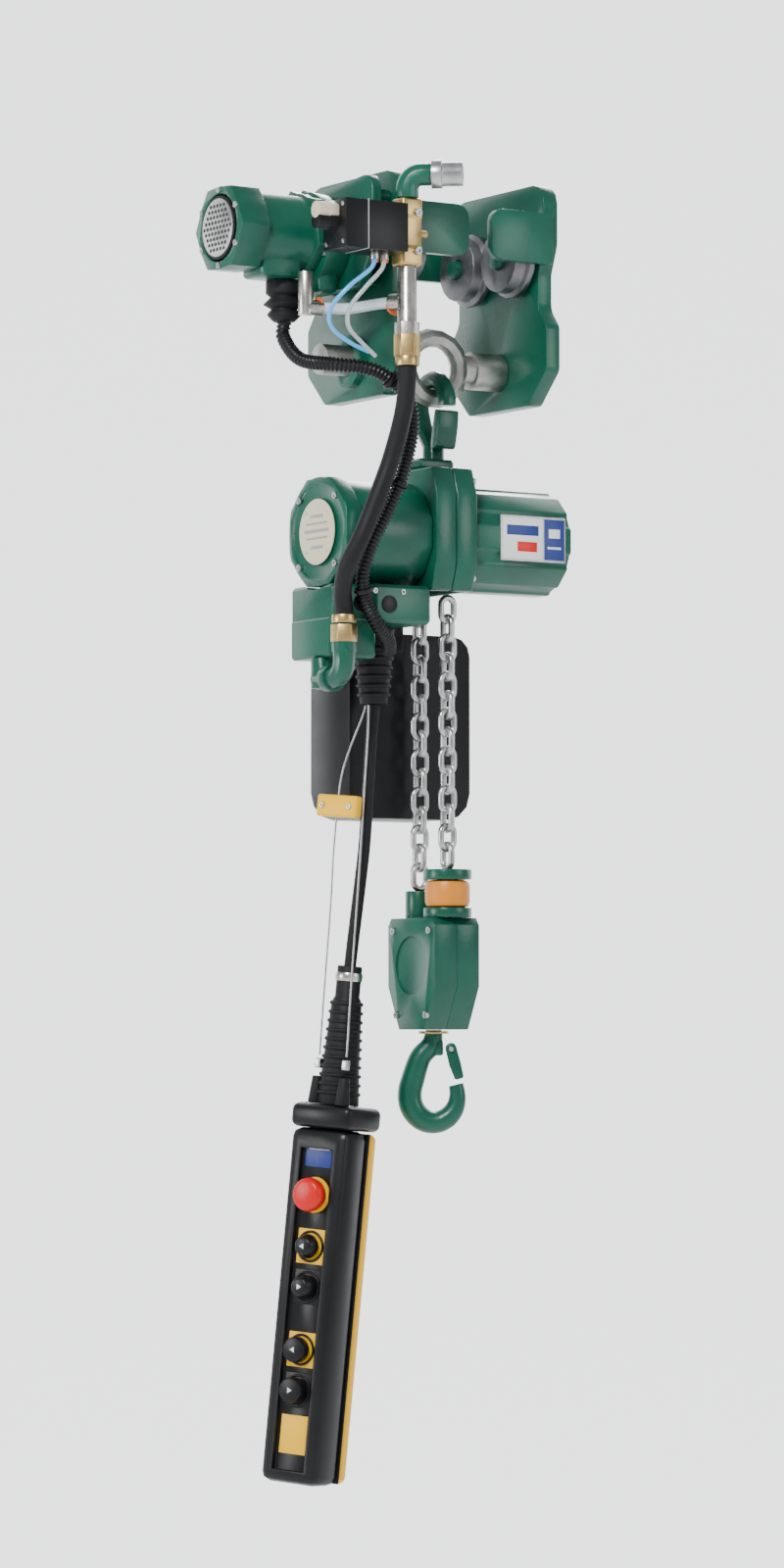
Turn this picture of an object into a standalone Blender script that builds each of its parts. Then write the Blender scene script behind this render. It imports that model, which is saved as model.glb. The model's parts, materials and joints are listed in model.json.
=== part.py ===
"""Air-powered chain hoist on a motor trolley, with a pendant control.

Frame: metres, +Z up.  The origin is where the beam's lower flange carries the trolley:
Z = 0 is the wheels' running surface, X runs across the beam, Y runs along it.
"""
import math

import bmesh
import bpy
from mathutils import Matrix, Vector

GAP = 0.0004  # clearance between pieces that touch on the real hoist

# Beam and trolley
FLANGE_WIDTH = 0.150  # beam flange that the trolley straddles
PLATE_THICK = 0.018
PLATE_CLEAR = 0.011  # side plate to flange edge
PLATE_HALF_LENGTH = 0.095
PLATE_BOTTOM = -0.125
PLATE_TOP = 0.118
PLATE_CHAMFER = 0.036
WHEEL_RADIUS = 0.036
WHEEL_WIDTH = 0.024
WHEEL_LIP = 0.005
WHEEL_BASE = 0.084  # between the axles along the beam
AXLE_RADIUS = 0.010
FLAP_WIDTH = 0.080
FLAP_HEIGHT = 0.056
FLAP_BOTTOM = 0.028
FLAP_THICK = 0.010

# Load bar
BAR_Z = -0.083
BAR_RADIUS = 0.017
BAR_END = 0.148  # how far the left end stands out from the centre
RING_RADIUS = 0.034  # centre line of the forged eye
RING_SECTION = 0.0105

# Trolley motor
MOTOR_Z = 0.050
MOTOR_RADIUS = 0.042
MOTOR_FLANGE_RADIUS = 0.048
MOTOR_LENGTH = 0.072
MOTOR_FLANGE_LENGTH = 0.036
BRACKET_THICK = 0.012
BRACKET_STAND_OFF = 0.020

# Hoist body
BODY_Z = -0.272
BODY_RADIUS = 0.060
BODY_LEFT = -0.150
SLAB_THICK = 0.0265
SLAB_RIGHT = 0.017
SLAB_HEIGHT = 0.135
GEARBOX_LENGTH = 0.128
GEARBOX_RADIUS = 0.056

# Chain
LINK_WIRE = 0.007
LINK_PITCH = 0.021
LINK_WIDTH = 0.0235
LINKS_RAISED = 8  # links of each fall that ride up with the bottom block
FALL_SPREAD = 0.056  # between the two falls, the idler sheave's pitch diameter
FALL_TOP = -0.352

# Bottom block
BLOCK_TOP = -0.690
BLOCK_HEIGHT = 0.122
BLOCK_WIDTH = 0.094
BLOCK_THICK = 0.058

# Bottom hook
HOOK_BORE = 0.020  # radius of the throat
HOOK_SECTION = 0.024

# Chain container
BIN_SIZE = (0.082, 0.130, 0.205)

# Pendant control
PENDANT_LENGTH = 0.385
PENDANT_WIDTH = 0.074
PENDANT_DEPTH = 0.066
PENDANT_TURN = math.radians(-65)
PENDANT_LEAN = math.radians(5.2)
PENDANT_HOSE_RADIUS = 0.0068
BUTTON_RADIUS = 0.0145
STOP_RADIUS = 0.0195


# ---------------------------------------------------------------- scene and helpers
def new_collection(name, hidden=False):
    collection = bpy.data.collections.new(name)
    collection.hide_render = hidden
    bpy.context.scene.collection.children.link(collection)
    return collection


for old in list(bpy.data.objects):
    bpy.data.objects.remove(old, do_unlink=True)
PARTS = new_collection("chain_hoist")
CUTTERS = new_collection("chain_hoist_cutters", hidden=True)

# Turns that carry a shape's local Z onto another axis.
ALONG_Z = Matrix.Identity(4)
ALONG_X = Matrix.Rotation(math.radians(90), 4, "Z") @ Matrix.Rotation(math.radians(90), 4, "X")
ALONG_Y = Matrix.Rotation(math.radians(-90), 4, "X")


def material(name, colour, roughness, metallic=0.0):
    made = bpy.data.materials.new(name)
    made.use_nodes = True
    shader = made.node_tree.nodes["Principled BSDF"]
    shader.inputs["Base Color"].default_value = (*colour, 1.0)
    shader.inputs["Roughness"].default_value = roughness
    shader.inputs["Metallic"].default_value = metallic
    return made


GREEN = material("green_enamel", (0.004, 0.165, 0.095), 0.38)
STEEL = material("bright_steel", (0.62, 0.62, 0.62), 0.28, 1.0)
DARK_STEEL = material("dark_steel", (0.16, 0.16, 0.17), 0.45, 0.9)
NICKEL = material("nickel_plate", (0.66, 0.62, 0.55), 0.24, 1.0)
BRASS = material("brass", (0.62, 0.40, 0.10), 0.30, 1.0)
BLACK_PLASTIC = material("black_plastic", (0.012, 0.012, 0.012), 0.42)
BLACK_RUBBER = material("black_rubber", (0.016, 0.016, 0.017), 0.62)
CLEAR_TUBE = material("milky_tube", (0.62, 0.70, 0.80), 0.30)
BUFFER = material("amber_rubber", (0.80, 0.40, 0.05), 0.50)
YELLOW = material("yellow_plastic", (0.90, 0.62, 0.01), 0.40)
RED = material("red_plastic", (0.75, 0.02, 0.015), 0.32)


def keep(obj, finish, place=ALONG_Z, at=(0, 0, 0)):
    """Puts an object among the parts, or the cutters if it has no finish, at its place."""
    for collection in obj.users_collection:
        collection.objects.unlink(obj)
    (PARTS if finish else CUTTERS).objects.link(obj)
    if finish:
        obj.data.materials.clear()
        obj.data.materials.append(finish)
    else:
        obj.hide_render = True
        obj.display_type = "WIRE"
    obj.matrix_world = Matrix.Translation(at) @ place
    return obj


def mesh_object(name, build):
    mesh = bpy.data.meshes.new(name)
    bm = bmesh.new()
    build(bm)
    bm.to_mesh(mesh)
    bm.free()
    obj = bpy.data.objects.new(name, mesh)
    bpy.context.scene.collection.objects.link(obj)
    return obj


def smooth(obj, angle=35):
    obj.data.shade_smooth()
    obj.data.set_sharp_from_angle(angle=math.radians(angle))
    return obj


def box(name, finish, size, at, bevel=0.0, place=ALONG_Z, segments=2):
    def build(bm):
        bmesh.ops.create_cube(bm, size=1.0)
        bmesh.ops.scale(bm, vec=size, verts=bm.verts)

    obj = keep(mesh_object(name, build), finish, place, at)
    if bevel:
        soften(obj, bevel, segments)
    return obj


def soften(obj, width, segments=2, angle=30):
    bevel = obj.modifiers.new("edges", "BEVEL")
    bevel.width = width
    bevel.segments = segments
    bevel.limit_method = "ANGLE"
    bevel.angle_limit = math.radians(angle)
    return obj


def rod(name, finish, radius, length, at, place=ALONG_Z, sides=24, top=None):
    """A cylinder, or a cone where top is given, standing on its base at the point."""

    def build(bm):
        bmesh.ops.create_cone(
            bm, cap_ends=True, segments=sides, depth=length,
            radius1=radius, radius2=radius if top is None else top,
        )
        bmesh.ops.translate(bm, vec=(0, 0, length / 2), verts=bm.verts)

    return smooth(keep(mesh_object(name, build), finish, place, at))


def turned(name, finish, profile, at, place=ALONG_Z, sides=24, closed=False):
    """A profile of (radius, height) points, top to bottom down its outer side, turned round Z."""

    def build(bm):
        points = [bm.verts.new((radius, 0, height)) for radius, height in profile]
        for first, second in zip(points, points[1:]):
            bm.edges.new((first, second))
        if closed:
            bm.edges.new((points[-1], points[0]))

    obj = keep(mesh_object(name, build), finish, place, at)
    screw = obj.modifiers.new("turn", "SCREW")
    screw.steps = sides
    screw.render_steps = sides
    screw.use_merge_vertices = True
    screw.merge_threshold = 0.00001
    return obj


def to_mesh(obj):
    """The object as the viewport evaluates it, as a mesh with its seams welded."""
    bpy.context.view_layer.update()
    graph = bpy.context.evaluated_depsgraph_get()
    mesh = bpy.data.meshes.new_from_object(obj.evaluated_get(graph))
    bm = bmesh.new()
    bm.from_mesh(mesh)
    bmesh.ops.remove_doubles(bm, verts=bm.verts, dist=0.00001)
    bmesh.ops.recalc_face_normals(bm, faces=bm.faces)
    bm.to_mesh(mesh)
    bm.free()
    made = bpy.data.objects.new(obj.name, mesh)
    home = obj.users_collection[0]
    made.hide_render = obj.hide_render
    made.display_type = obj.display_type
    world = obj.matrix_world.copy()
    name = obj.name
    bpy.data.objects.remove(obj, do_unlink=True)
    made.name = name
    home.objects.link(made)
    made.matrix_world = world
    return made


def tube(name, finish, points, radius, resolution=2, at=(0, 0, 0), place=ALONG_Z, cyclic=False):
    curve = bpy.data.curves.new(name, "CURVE")
    curve.dimensions = "3D"
    spline = curve.splines.new("POLY")
    spline.points.add(len(points) - 1)
    for target, point in zip(spline.points, points):
        target.co = (*point, 1)
    spline.use_cyclic_u = cyclic
    curve.bevel_depth = radius
    curve.bevel_resolution = resolution
    curve.use_fill_caps = not cyclic
    obj = bpy.data.objects.new(name, curve)
    bpy.context.scene.collection.objects.link(obj)
    return keep(obj, finish, place, at)


def rounded(corners, steps=4):
    """An outline through (x, y, radius) corners, each rounded by an arc of its radius."""
    outline = []
    for index, (x, y, radius) in enumerate(corners):
        corner = Vector((x, y))
        before = Vector(corners[index - 1][:2]) - corner
        after = Vector(corners[(index + 1) % len(corners)][:2]) - corner
        if not radius:
            outline.append((x, y))
            continue
        half = before.angle(after) / 2
        reach = radius / math.tan(half)
        centre = corner + (before.normalized() + after.normalized()).normalized() * radius / math.sin(half)
        start = corner + before.normalized() * reach - centre
        turn = start.angle_signed(corner + after.normalized() * reach - centre)
        for step in range(steps + 1):
            point = centre + Matrix.Rotation(-turn * step / steps, 2) @ start
            outline.append((point.x, point.y))
    return outline


def plate(name, finish, outline, thickness, at, place=ALONG_Z, bevel=0.0, segments=1):
    """A flat outline given its thickness from the point along the turned local Z."""
    curve = bpy.data.curves.new(name, "CURVE")
    curve.dimensions = "2D"
    curve.fill_mode = "BOTH"
    curve.extrude = thickness / 2
    spline = curve.splines.new("POLY")
    spline.points.add(len(outline) - 1)
    for target, point in zip(spline.points, outline):
        target.co = (*point, 0, 1)
    spline.use_cyclic_u = True
    obj = bpy.data.objects.new(name, curve)
    bpy.context.scene.collection.objects.link(obj)
    middle = Matrix.Translation(at) @ place @ Matrix.Translation((0, 0, thickness / 2))
    obj = to_mesh(keep(obj, finish, middle, (0, 0, 0)))
    if finish:
        obj.data.materials.append(finish)
    if bevel:
        soften(obj, bevel, segments)
    return obj


def boolean(obj, other, operation):
    modifier = obj.modifiers.new(operation.lower(), "BOOLEAN")
    modifier.operation = operation
    modifier.object = other
    modifier.solver = "EXACT"
    return obj


def cut(obj, *others):
    for other in others:
        boolean(obj, other, "DIFFERENCE")
    return obj


def join(obj, *others):
    for other in others:
        boolean(obj, other, "UNION")
    return obj


def empty(name, at=(0, 0, 0), turn=ALONG_Z):
    obj = bpy.data.objects.new(name, None)
    obj.empty_display_size = 0.02
    PARTS.objects.link(obj)
    obj.matrix_world = Matrix.Translation(at) @ turn
    return obj


def circle(radius, count, start=0.0, centre=(0.0, 0.0)):
    """Points evenly round a circle."""
    return [
        (
            centre[0] + radius * math.cos(start + 2 * math.pi * step / count),
            centre[1] + radius * math.sin(start + 2 * math.pi * step / count),
        )
        for step in range(count)
    ]


def smooth_route(knots, spacing):
    """Points every so often along a smooth curve through the knots."""
    knots = [Vector(knot) for knot in knots]
    ends = [2 * knots[0] - knots[1]] + knots + [2 * knots[-1] - knots[-2]]
    fine = []
    for p0, p1, p2, p3 in zip(ends, ends[1:], ends[2:], ends[3:]):
        for step in range(40):
            t = step / 40
            fine.append(
                0.5 * (
                    2 * p1 + (p2 - p0) * t + (2 * p0 - 5 * p1 + 4 * p2 - p3) * t * t
                    + (3 * p1 - p0 - 3 * p2 + p3) * t ** 3
                )
            )
    fine.append(knots[-1])
    length = sum((b - a).length for a, b in zip(fine, fine[1:]))
    count = max(2, round(length / spacing))
    route = [fine[0]]
    travelled = 0.0
    for a, b in zip(fine, fine[1:]):
        travelled += (b - a).length
        if travelled >= len(route) * length / count and len(route) < count:
            route.append(b)
    route.append(fine[-1])
    return [tuple(point) for point in route]


# ---------------------------------------------------------------- trolley
PLATE_IN = FLANGE_WIDTH / 2 + PLATE_CLEAR  # inner face of a side plate
PLATE_OUT = PLATE_IN + PLATE_THICK
BRACKET_IN = PLATE_OUT + BRACKET_STAND_OFF
BRACKET_OUT = BRACKET_IN + BRACKET_THICK
WHEEL_X = PLATE_IN - 0.004 - WHEEL_WIDTH  # inner side of a wheel


RIM_RADIUS = WHEEL_RADIUS + WHEEL_LIP
GEAR_MODULE = 0.0028
GEAR_TEETH = 28
PINION_TEETH = 10
GEAR_WIDTH = 0.008
GEAR_PITCH = GEAR_MODULE * GEAR_TEETH / 2  # pitch radii
PINION_PITCH = GEAR_MODULE * PINION_TEETH / 2
ADDENDUM = 0.0017
DEDENDUM = 0.0021
MESH_SIDE = math.asin(WHEEL_BASE / 2 / (GEAR_PITCH + PINION_PITCH))  # from the vertical
PINION_Z = WHEEL_RADIUS + (GEAR_PITCH + PINION_PITCH) * math.cos(MESH_SIDE)
PINION_PHASE = math.radians(90)


def side_plate(name, side):
    """A cast side plate with its shield-shaped foot, bar boss, bumper flaps and wheel axles."""
    half = PLATE_HALF_LENGTH
    waist = half - 0.016
    outline = rounded([
        (-half + 0.004, PLATE_TOP, 0.022), (-half + 0.004, 0.050, 0.030), (-waist, 0.018, 0.020),
        (-waist, -0.020, 0.020), (-half, -0.040, 0.012), (-half, PLATE_BOTTOM + PLATE_CHAMFER, 0.010),
        (-half + PLATE_CHAMFER, PLATE_BOTTOM, 0.010), (half - PLATE_CHAMFER, PLATE_BOTTOM, 0.010),
        (half, PLATE_BOTTOM + PLATE_CHAMFER, 0.010), (half, -0.040, 0.012), (waist, -0.020, 0.020),
        (waist, 0.018, 0.020), (half - 0.004, 0.050, 0.030), (half - 0.004, PLATE_TOP, 0.022),
    ], steps=3)
    start = PLATE_IN if side > 0 else -PLATE_OUT
    obj = plate(name, GREEN, outline, PLATE_THICK, (start, 0, 0), ALONG_X)
    middle = side * (PLATE_IN + PLATE_OUT) / 2
    for end in (-1, 1):
        reach = FLAP_WIDTH
        flap = plate(
            f"{name}_flap_{end}", None,
            rounded([
                (0, 0, 0), (reach, 0, 0.014), (reach, FLAP_HEIGHT, 0.014), (0, FLAP_HEIGHT, 0),
            ], steps=3),
            FLAP_THICK, (0, 0, 0), ALONG_Z,
        )
        stand = Matrix.Rotation(math.radians(90), 4, "X")
        if side > 0:
            stand = Matrix.Rotation(math.pi, 4, "Z") @ stand
        flap.matrix_world = (
            Matrix.Translation((middle, end * (half - FLAP_THICK / 2), FLAP_BOTTOM)) @ stand
        )
        join(obj, flap)
        axle = rod(
            f"{name}_axle_{end}", None, AXLE_RADIUS, PLATE_IN - WHEEL_X + 0.010 + PLATE_THICK / 2,
            (side * (WHEEL_X - 0.006), end * WHEEL_BASE / 2, WHEEL_RADIUS),
            ALONG_X if side > 0 else Matrix.Rotation(math.pi, 4, "Z") @ ALONG_X, sides=16,
        )
        join(obj, axle)
    boss = rod(
        f"{name}_boss", None, BAR_RADIUS + 0.012, 0.012,
        (side * (PLATE_OUT - 0.002), 0, BAR_Z),
        ALONG_X if side > 0 else Matrix.Rotation(math.pi, 4, "Z") @ ALONG_X, sides=20,
    )
    join(obj, boss)
    bore = rod(
        f"{name}_bore", None, BAR_RADIUS + GAP, 0.08, (middle - 0.04, 0, BAR_Z), ALONG_X, sides=20
    )
    if side < 0:
        shaft_hole = rod(
            f"{name}_shaft_hole", None, 0.0075, 0.08, (middle - 0.04, 0, PINION_Z), ALONG_X, sides=16
        )
        cut(obj, shaft_hole)
    return cut(obj, bore)


def load_bar():
    """Round bar with a forged eye in its middle, which the top hook hangs in."""
    bar = rod(
        "load_bar", STEEL, BAR_RADIUS, BAR_END - RING_RADIUS, (-BAR_END, 0, BAR_Z), ALONG_X, sides=20
    )
    right = rod(
        "load_bar_right", None, BAR_RADIUS, PLATE_OUT + 0.012 - RING_RADIUS, (RING_RADIUS, 0, BAR_Z),
        ALONG_X, sides=20,
    )
    eye = tube(
        "load_bar_eye", None,
        [(x, 0, z) for x, z in circle(RING_RADIUS, 16, math.pi / 16)],
        RING_SECTION, 2, at=(0, 0, BAR_Z), cyclic=True,
    )
    eye = to_mesh(eye)
    start = RING_RADIUS + RING_SECTION + 0.002
    collar = rod(
        "load_bar_collar", None, BAR_RADIUS + 0.004, PLATE_IN - GAP - start, (start, 0, BAR_Z), ALONG_X, sides=20
    )
    return join(bar, eye, right, collar)


def motor_bracket():
    """Second plate, bolted outside the left side plate, which carries the drive motor."""
    half = PLATE_HALF_LENGTH - 0.006
    outline = rounded([
        (-half, PLATE_TOP - 0.006, 0.016), (-half, 0.030, 0.010), (-0.060, -0.010, 0.010),
        (0.060, -0.010, 0.010), (0.072, 0.030, 0.010), (0.072, 0.096, 0.016),
    ], steps=3)
    obj = plate(
        "motor_bracket", GREEN, outline, BRACKET_THICK, (-BRACKET_OUT, 0, 0), ALONG_X
    )
    for index, (y, z) in enumerate(((-0.068, 0.088), (0.056, 0.080), (-0.045, 0.004), (0.045, 0.004))):
        post = rod(
            f"motor_bracket_post_{index}", None, 0.009, BRACKET_STAND_OFF + 0.002 - GAP,
            (-BRACKET_IN - 0.002, y, z), ALONG_X, sides=12,
        )
        join(obj, post)
    shaft_hole = rod(
        "motor_bracket_hole", None, 0.016, 0.06, (-BRACKET_OUT - 0.02, 0, MOTOR_Z), ALONG_X, sides=16
    )
    return cut(obj, shaft_hole)


def lobed(radius, lobe, count, start, points=42):
    """A round outline with bolt lobes standing out of it."""
    outline = []
    for step in range(points):
        angle = 2 * math.pi * step / points
        swell = lobe * max(0.0, math.cos(count * (angle - start))) ** 2
        outline.append(((radius + swell) * math.cos(angle), (radius + swell) * math.sin(angle)))
    return outline


MOTOR_FACE = -BRACKET_OUT - GAP - 0.030 - GAP - MOTOR_LENGTH - GAP - MOTOR_FLANGE_LENGTH


def drive_gear_housing():
    """Reduction gear casing between the bracket and the motor, with a rib below."""
    start = -BRACKET_OUT - GAP - 0.030
    obj = rod(
        "drive_gear_housing", GREEN, MOTOR_FLANGE_RADIUS + 0.004, 0.030, (start, 0, MOTOR_Z - 0.004),
        ALONG_X, sides=28, top=MOTOR_FLANGE_RADIUS + 0.001,
    )
    sump = box(
        "drive_gear_sump", None, (0.024, 0.060, 0.030), (start + 0.013, 0, MOTOR_Z - 0.050), bevel=0.006
    )
    return join(obj, sump)


def drive_motor_housing():
    start = -BRACKET_OUT - 2 * GAP - 0.030 - MOTOR_LENGTH
    obj = rod(
        "drive_motor_housing", GREEN, MOTOR_RADIUS, MOTOR_LENGTH, (start, 0, MOTOR_Z), ALONG_X, sides=28
    )
    back = plate(
        "drive_motor_back_flange", None, lobed(MOTOR_RADIUS + 0.003, 0.006, 6, 0.3), 0.012,
        (start + MOTOR_LENGTH - 0.012, 0, MOTOR_Z), ALONG_X,
    )
    chest = box(
        "drive_motor_exhaust_chest", None, (0.050, 0.046, 0.030),
        (start + 0.028, -0.004, MOTOR_Z - MOTOR_RADIUS + 0.006), bevel=0.005,
    )
    return join(obj, back, chest)


def motor_end_flange():
    """Lobed end casting with an open mouth that holds the silencer."""
    start = MOTOR_FACE
    obj = plate(
        "motor_end_flange", GREEN, lobed(MOTOR_FLANGE_RADIUS - 0.003, 0.0045, 6, 0.0),
        MOTOR_FLANGE_LENGTH, (start, 0, MOTOR_Z), ALONG_X,
    )
    mouth = rod(
        "motor_end_mouth", None, MOTOR_FLANGE_RADIUS - 0.011, 0.020, (start - 0.006, 0, MOTOR_Z),
        ALONG_X, sides=28,
    )
    return cut(obj, mouth)


side_plate("side_plate_left", -1)
side_plate("side_plate_right", 1)
load_bar()
motor_bracket()
drive_gear_housing()
drive_motor_housing()
motor_end_flange()


# ---------------------------------------------------------------- wheels and drive
def gear_outline(teeth, pitch, phase):
    """A plain gear's outline with straight-sided teeth, one of them centred on the phase."""
    outline = []
    inner, outer = pitch - DEDENDUM, pitch + ADDENDUM
    for tooth in range(teeth):
        for share, radius in ((-0.28, inner), (-0.13, outer), (0.13, outer), (0.28, inner)):
            angle = phase + 2 * math.pi * (tooth + share) / teeth
            outline.append((radius * math.cos(angle), radius * math.sin(angle)))
    return outline


def wheel_phase(end):
    """Where a driven wheel's tooth stands, so that it fills a gap of the pinion."""
    towards = math.radians(-90) + end * MESH_SIDE  # from the pinion to the wheel
    gap = 2 * math.pi / PINION_TEETH
    nearest = PINION_PHASE + gap / 2 + gap * round((towards - PINION_PHASE - gap / 2) / gap)
    return towards + math.pi - (nearest - towards) * PINION_PITCH / GEAR_PITCH


def wheel(name, side, end, geared):
    """A trolley wheel: a tread on the flange, a lip outside it and, when driven, a gear rim."""
    width = WHEEL_WIDTH
    bore = AXLE_RADIUS + 0.001
    lip = RIM_RADIUS - 0.004 if geared else RIM_RADIUS
    profile = [
        (lip - 0.002, width), (lip, width - 0.002), (lip, width - 0.008),
        (WHEEL_RADIUS, width - 0.011), (WHEEL_RADIUS - 0.001, 0), (bore, 0), (bore, width),
    ]
    turn = ALONG_X if side > 0 else Matrix.Rotation(math.pi, 4, "Z") @ ALONG_X
    at = (side * WHEEL_X, end * WHEEL_BASE / 2, WHEEL_RADIUS)
    obj = turned(name, DARK_STEEL, profile, at, turn, sides=18, closed=True)
    if geared:
        start = -(WHEEL_X + width)
        outline = gear_outline(GEAR_TEETH, GEAR_PITCH, wheel_phase(end))
        rim = plate(f"{name}_rim", None, outline, GEAR_WIDTH, (start, at[1], at[2]), ALONG_X)
        hole = rod(
            f"{name}_rim_hole", None, bore + 0.010, 0.04, (start - 0.02, at[1], at[2]), ALONG_X, sides=20
        )
        join(obj, to_mesh(cut(rim, hole)))
    return obj


for SIDE, SIDE_NAME in ((-1, "left"), (1, "right")):
    wheel(f"wheel_{SIDE_NAME}_near", SIDE, -1, SIDE < 0)
    wheel(f"wheel_{SIDE_NAME}_far", SIDE, 1, SIDE < 0)


def drive_pinion():
    """Pinion between the two driven wheels, on the end of the drive's output shaft."""
    start = -(WHEEL_X + WHEEL_WIDTH)
    outline = gear_outline(PINION_TEETH, PINION_PITCH, PINION_PHASE)
    obj = plate("drive_pinion", STEEL, outline, GEAR_WIDTH, (start, 0, PINION_Z), ALONG_X)
    stub = rod("drive_pinion_stub", None, 0.007, 0.018, (start - 0.014, 0, PINION_Z), ALONG_X, sides=12)
    return join(obj, stub)


drive_pinion()


# ---------------------------------------------------------------- air supply on the trolley
VALVE_X = -0.112
VALVE_Y = -0.121
VALVE_TOP = 0.079
VALVE_BOTTOM = 0.006
BOX_LENGTH = 0.078
HOSE_TAIL_BOTTOM = -0.092


def brass_valve_block():
    """Main valve body: a narrow waist between two square ends, with a switching pin."""
    height = VALVE_TOP - VALVE_BOTTOM
    obj = box(
        "main_valve_block", BRASS, (0.026, 0.024, height), (VALVE_X, VALVE_Y, VALVE_BOTTOM + height / 2),
        bevel=0.002, segments=1,
    )
    for index, side in enumerate((-1, 1)):
        waist = box(
            f"main_valve_waist_{index}", None, (0.040, 0.010, 0.036),
            (VALVE_X, VALVE_Y + side * 0.014, VALVE_BOTTOM + height / 2), bevel=0.003, segments=1,
        )
        cut(obj, waist)
    pin = rod(
        "main_valve_pin", None, 0.0045, 0.016, (VALVE_X + 0.008, VALVE_Y, VALVE_BOTTOM + height / 2),
        ALONG_X, sides=10,
    )
    return join(obj, pin)


def valve_box():
    """Two-part pneumatic actuator box beside the valve block."""
    obj = box(
        "valve_box", BLACK_PLASTIC, (BOX_LENGTH, 0.046, 0.052),
        (VALVE_X - 0.013 - GAP - BOX_LENGTH / 2, VALVE_Y, VALVE_BOTTOM + 0.038),
    )
    start = VALVE_X - 0.013 - GAP - BOX_LENGTH
    plug = rod(
        "valve_box_plug", None, 0.0105, 0.012, (start - 0.010, VALVE_Y, VALVE_BOTTOM + 0.040), ALONG_X, 6
    )
    head = rod(
        "valve_box_plug_head", None, 0.0085, 0.018, (start - 0.024, VALVE_Y, VALVE_BOTTOM + 0.040), ALONG_X, 14
    )
    return join(obj, plug, head)


def inlet_elbow():
    """Cast elbow that turns the air supply from the horizontal nipple down into the valve."""
    x, y, z = VALVE_X, VALVE_Y, VALVE_TOP + GAP
    reach = Vector((0.80, -0.60, 0))
    knots = [(x, y, z), (x, y, z + 0.010)]
    for step in range(1, 7):
        angle = math.radians(90 * step / 6)
        knots.append((
            x + reach.x * 0.016 * (1 - math.cos(angle)), y + reach.y * 0.016 * (1 - math.cos(angle)),
            z + 0.010 + 0.016 * math.sin(angle),
        ))
    end = Vector(knots[-1]) + reach * 0.010
    knots.append(tuple(end))
    obj = to_mesh(tube("inlet_elbow", GREEN, knots, 0.0125, 3))
    obj.data.materials.append(GREEN)
    return obj, end


def inlet_nipple(elbow_end):
    """Threaded steel nipple, open right through, where the supply hose screws on."""
    length = 0.034
    outer, inner = 0.0132, 0.0085
    profile = [
        (outer - 0.001, length), (outer, length - 0.001), (outer, 0.012), (0.0155, 0.011),
        (0.0155, 0), (inner, 0), (inner, length),
    ]
    place = Matrix.Rotation(math.atan2(-0.60, 0.80), 4, "Z") @ Matrix.Rotation(math.radians(90), 4, "Y")
    at = elbow_end + Vector((0.80, -0.60, 0)) * GAP
    return turned("inlet_nipple", STEEL, profile, at, place, sides=20, closed=True)


def tee_fitting():
    """T-piece under the valve, its branch pointing along the beam to the drive motor's tube."""
    top = VALVE_BOTTOM - GAP
    obj = rod("tee_fitting", NICKEL, 0.0105, 0.062, (VALVE_X, VALVE_Y, top - 0.062), sides=16)
    branch = rod(
        "tee_branch", None, 0.0095, 0.022, (VALVE_X, VALVE_Y, top - 0.036), TEE_TURN, sides=14
    )
    tail_top = top - 0.062 + 0.002
    tail = rod(
        "tee_hose_tail", None, 0.0135, tail_top - HOSE_TAIL_BOTTOM, (VALVE_X, VALVE_Y, HOSE_TAIL_BOTTOM), sides=6
    )
    return join(obj, branch, tail)


TEE_TURN = Matrix.Rotation(math.radians(-75), 4, "Z") @ Matrix.Rotation(math.radians(-90), 4, "Y")
TEE_DIRECTION = Vector((-math.cos(math.radians(75)), math.sin(math.radians(75)), 0))


ELBOW_END = inlet_elbow()[1]
inlet_nipple(ELBOW_END)
brass_valve_block()
valve_box()
tee_fitting()


# Cross tube to the drive motor and its swivel elbow
CROSS_RADIUS = 0.0062
CROSS_START = Vector((VALVE_X, VALVE_Y, VALVE_BOTTOM - GAP - 0.036)) + TEE_DIRECTION * (0.022 + GAP)
CROSS_END = Vector((-0.172, -0.046, CROSS_START.z - 0.004))
SWIVEL_RADIUS = 0.0085


def cross_tube():
    away = Vector((-1, 0.35, 0)).normalized()
    straight = [CROSS_END - away * reach for reach in (0.028, 0.014, 0.0)]
    route = [CROSS_START + TEE_DIRECTION * reach for reach in (0.0, 0.011, 0.022)] + straight
    return tube("cross_tube", CLEAR_TUBE, smooth_route(route, 0.010), CROSS_RADIUS, 2), away


def swivel_elbow(away):
    """Push-in elbow that turns the cross tube up into the motor casing."""
    at = CROSS_END + away * (SWIVEL_RADIUS + 0.010 + GAP)
    top = MOTOR_Z - MOTOR_RADIUS - at.z - 0.004
    obj = rod("swivel_elbow", NICKEL, SWIVEL_RADIUS, top + 0.008, at - Vector((0, 0, 0.008)), sides=14)
    facing = (-away).to_track_quat("Z", "Y").to_matrix().to_4x4()
    socket = rod("swivel_socket", None, SWIVEL_RADIUS, SWIVEL_RADIUS + 0.010, at, facing, sides=14)
    return join(obj, socket)


swivel_elbow(cross_tube()[1])


# ---------------------------------------------------------------- hoist body
SLAB_LEFT = SLAB_RIGHT - 2 * SLAB_THICK - GAP
SLAB_Z = BODY_Z + 0.006
SLAB_BOTTOM = SLAB_Z - SLAB_HEIGHT / 2
COVER_LENGTH = 0.020
FRONT_Y = -0.036  # near face of the lower valve blocks
VALVE_BLOCK_BOTTOM = -0.372
LOWER_BLOCK_BOTTOM = -0.410


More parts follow.
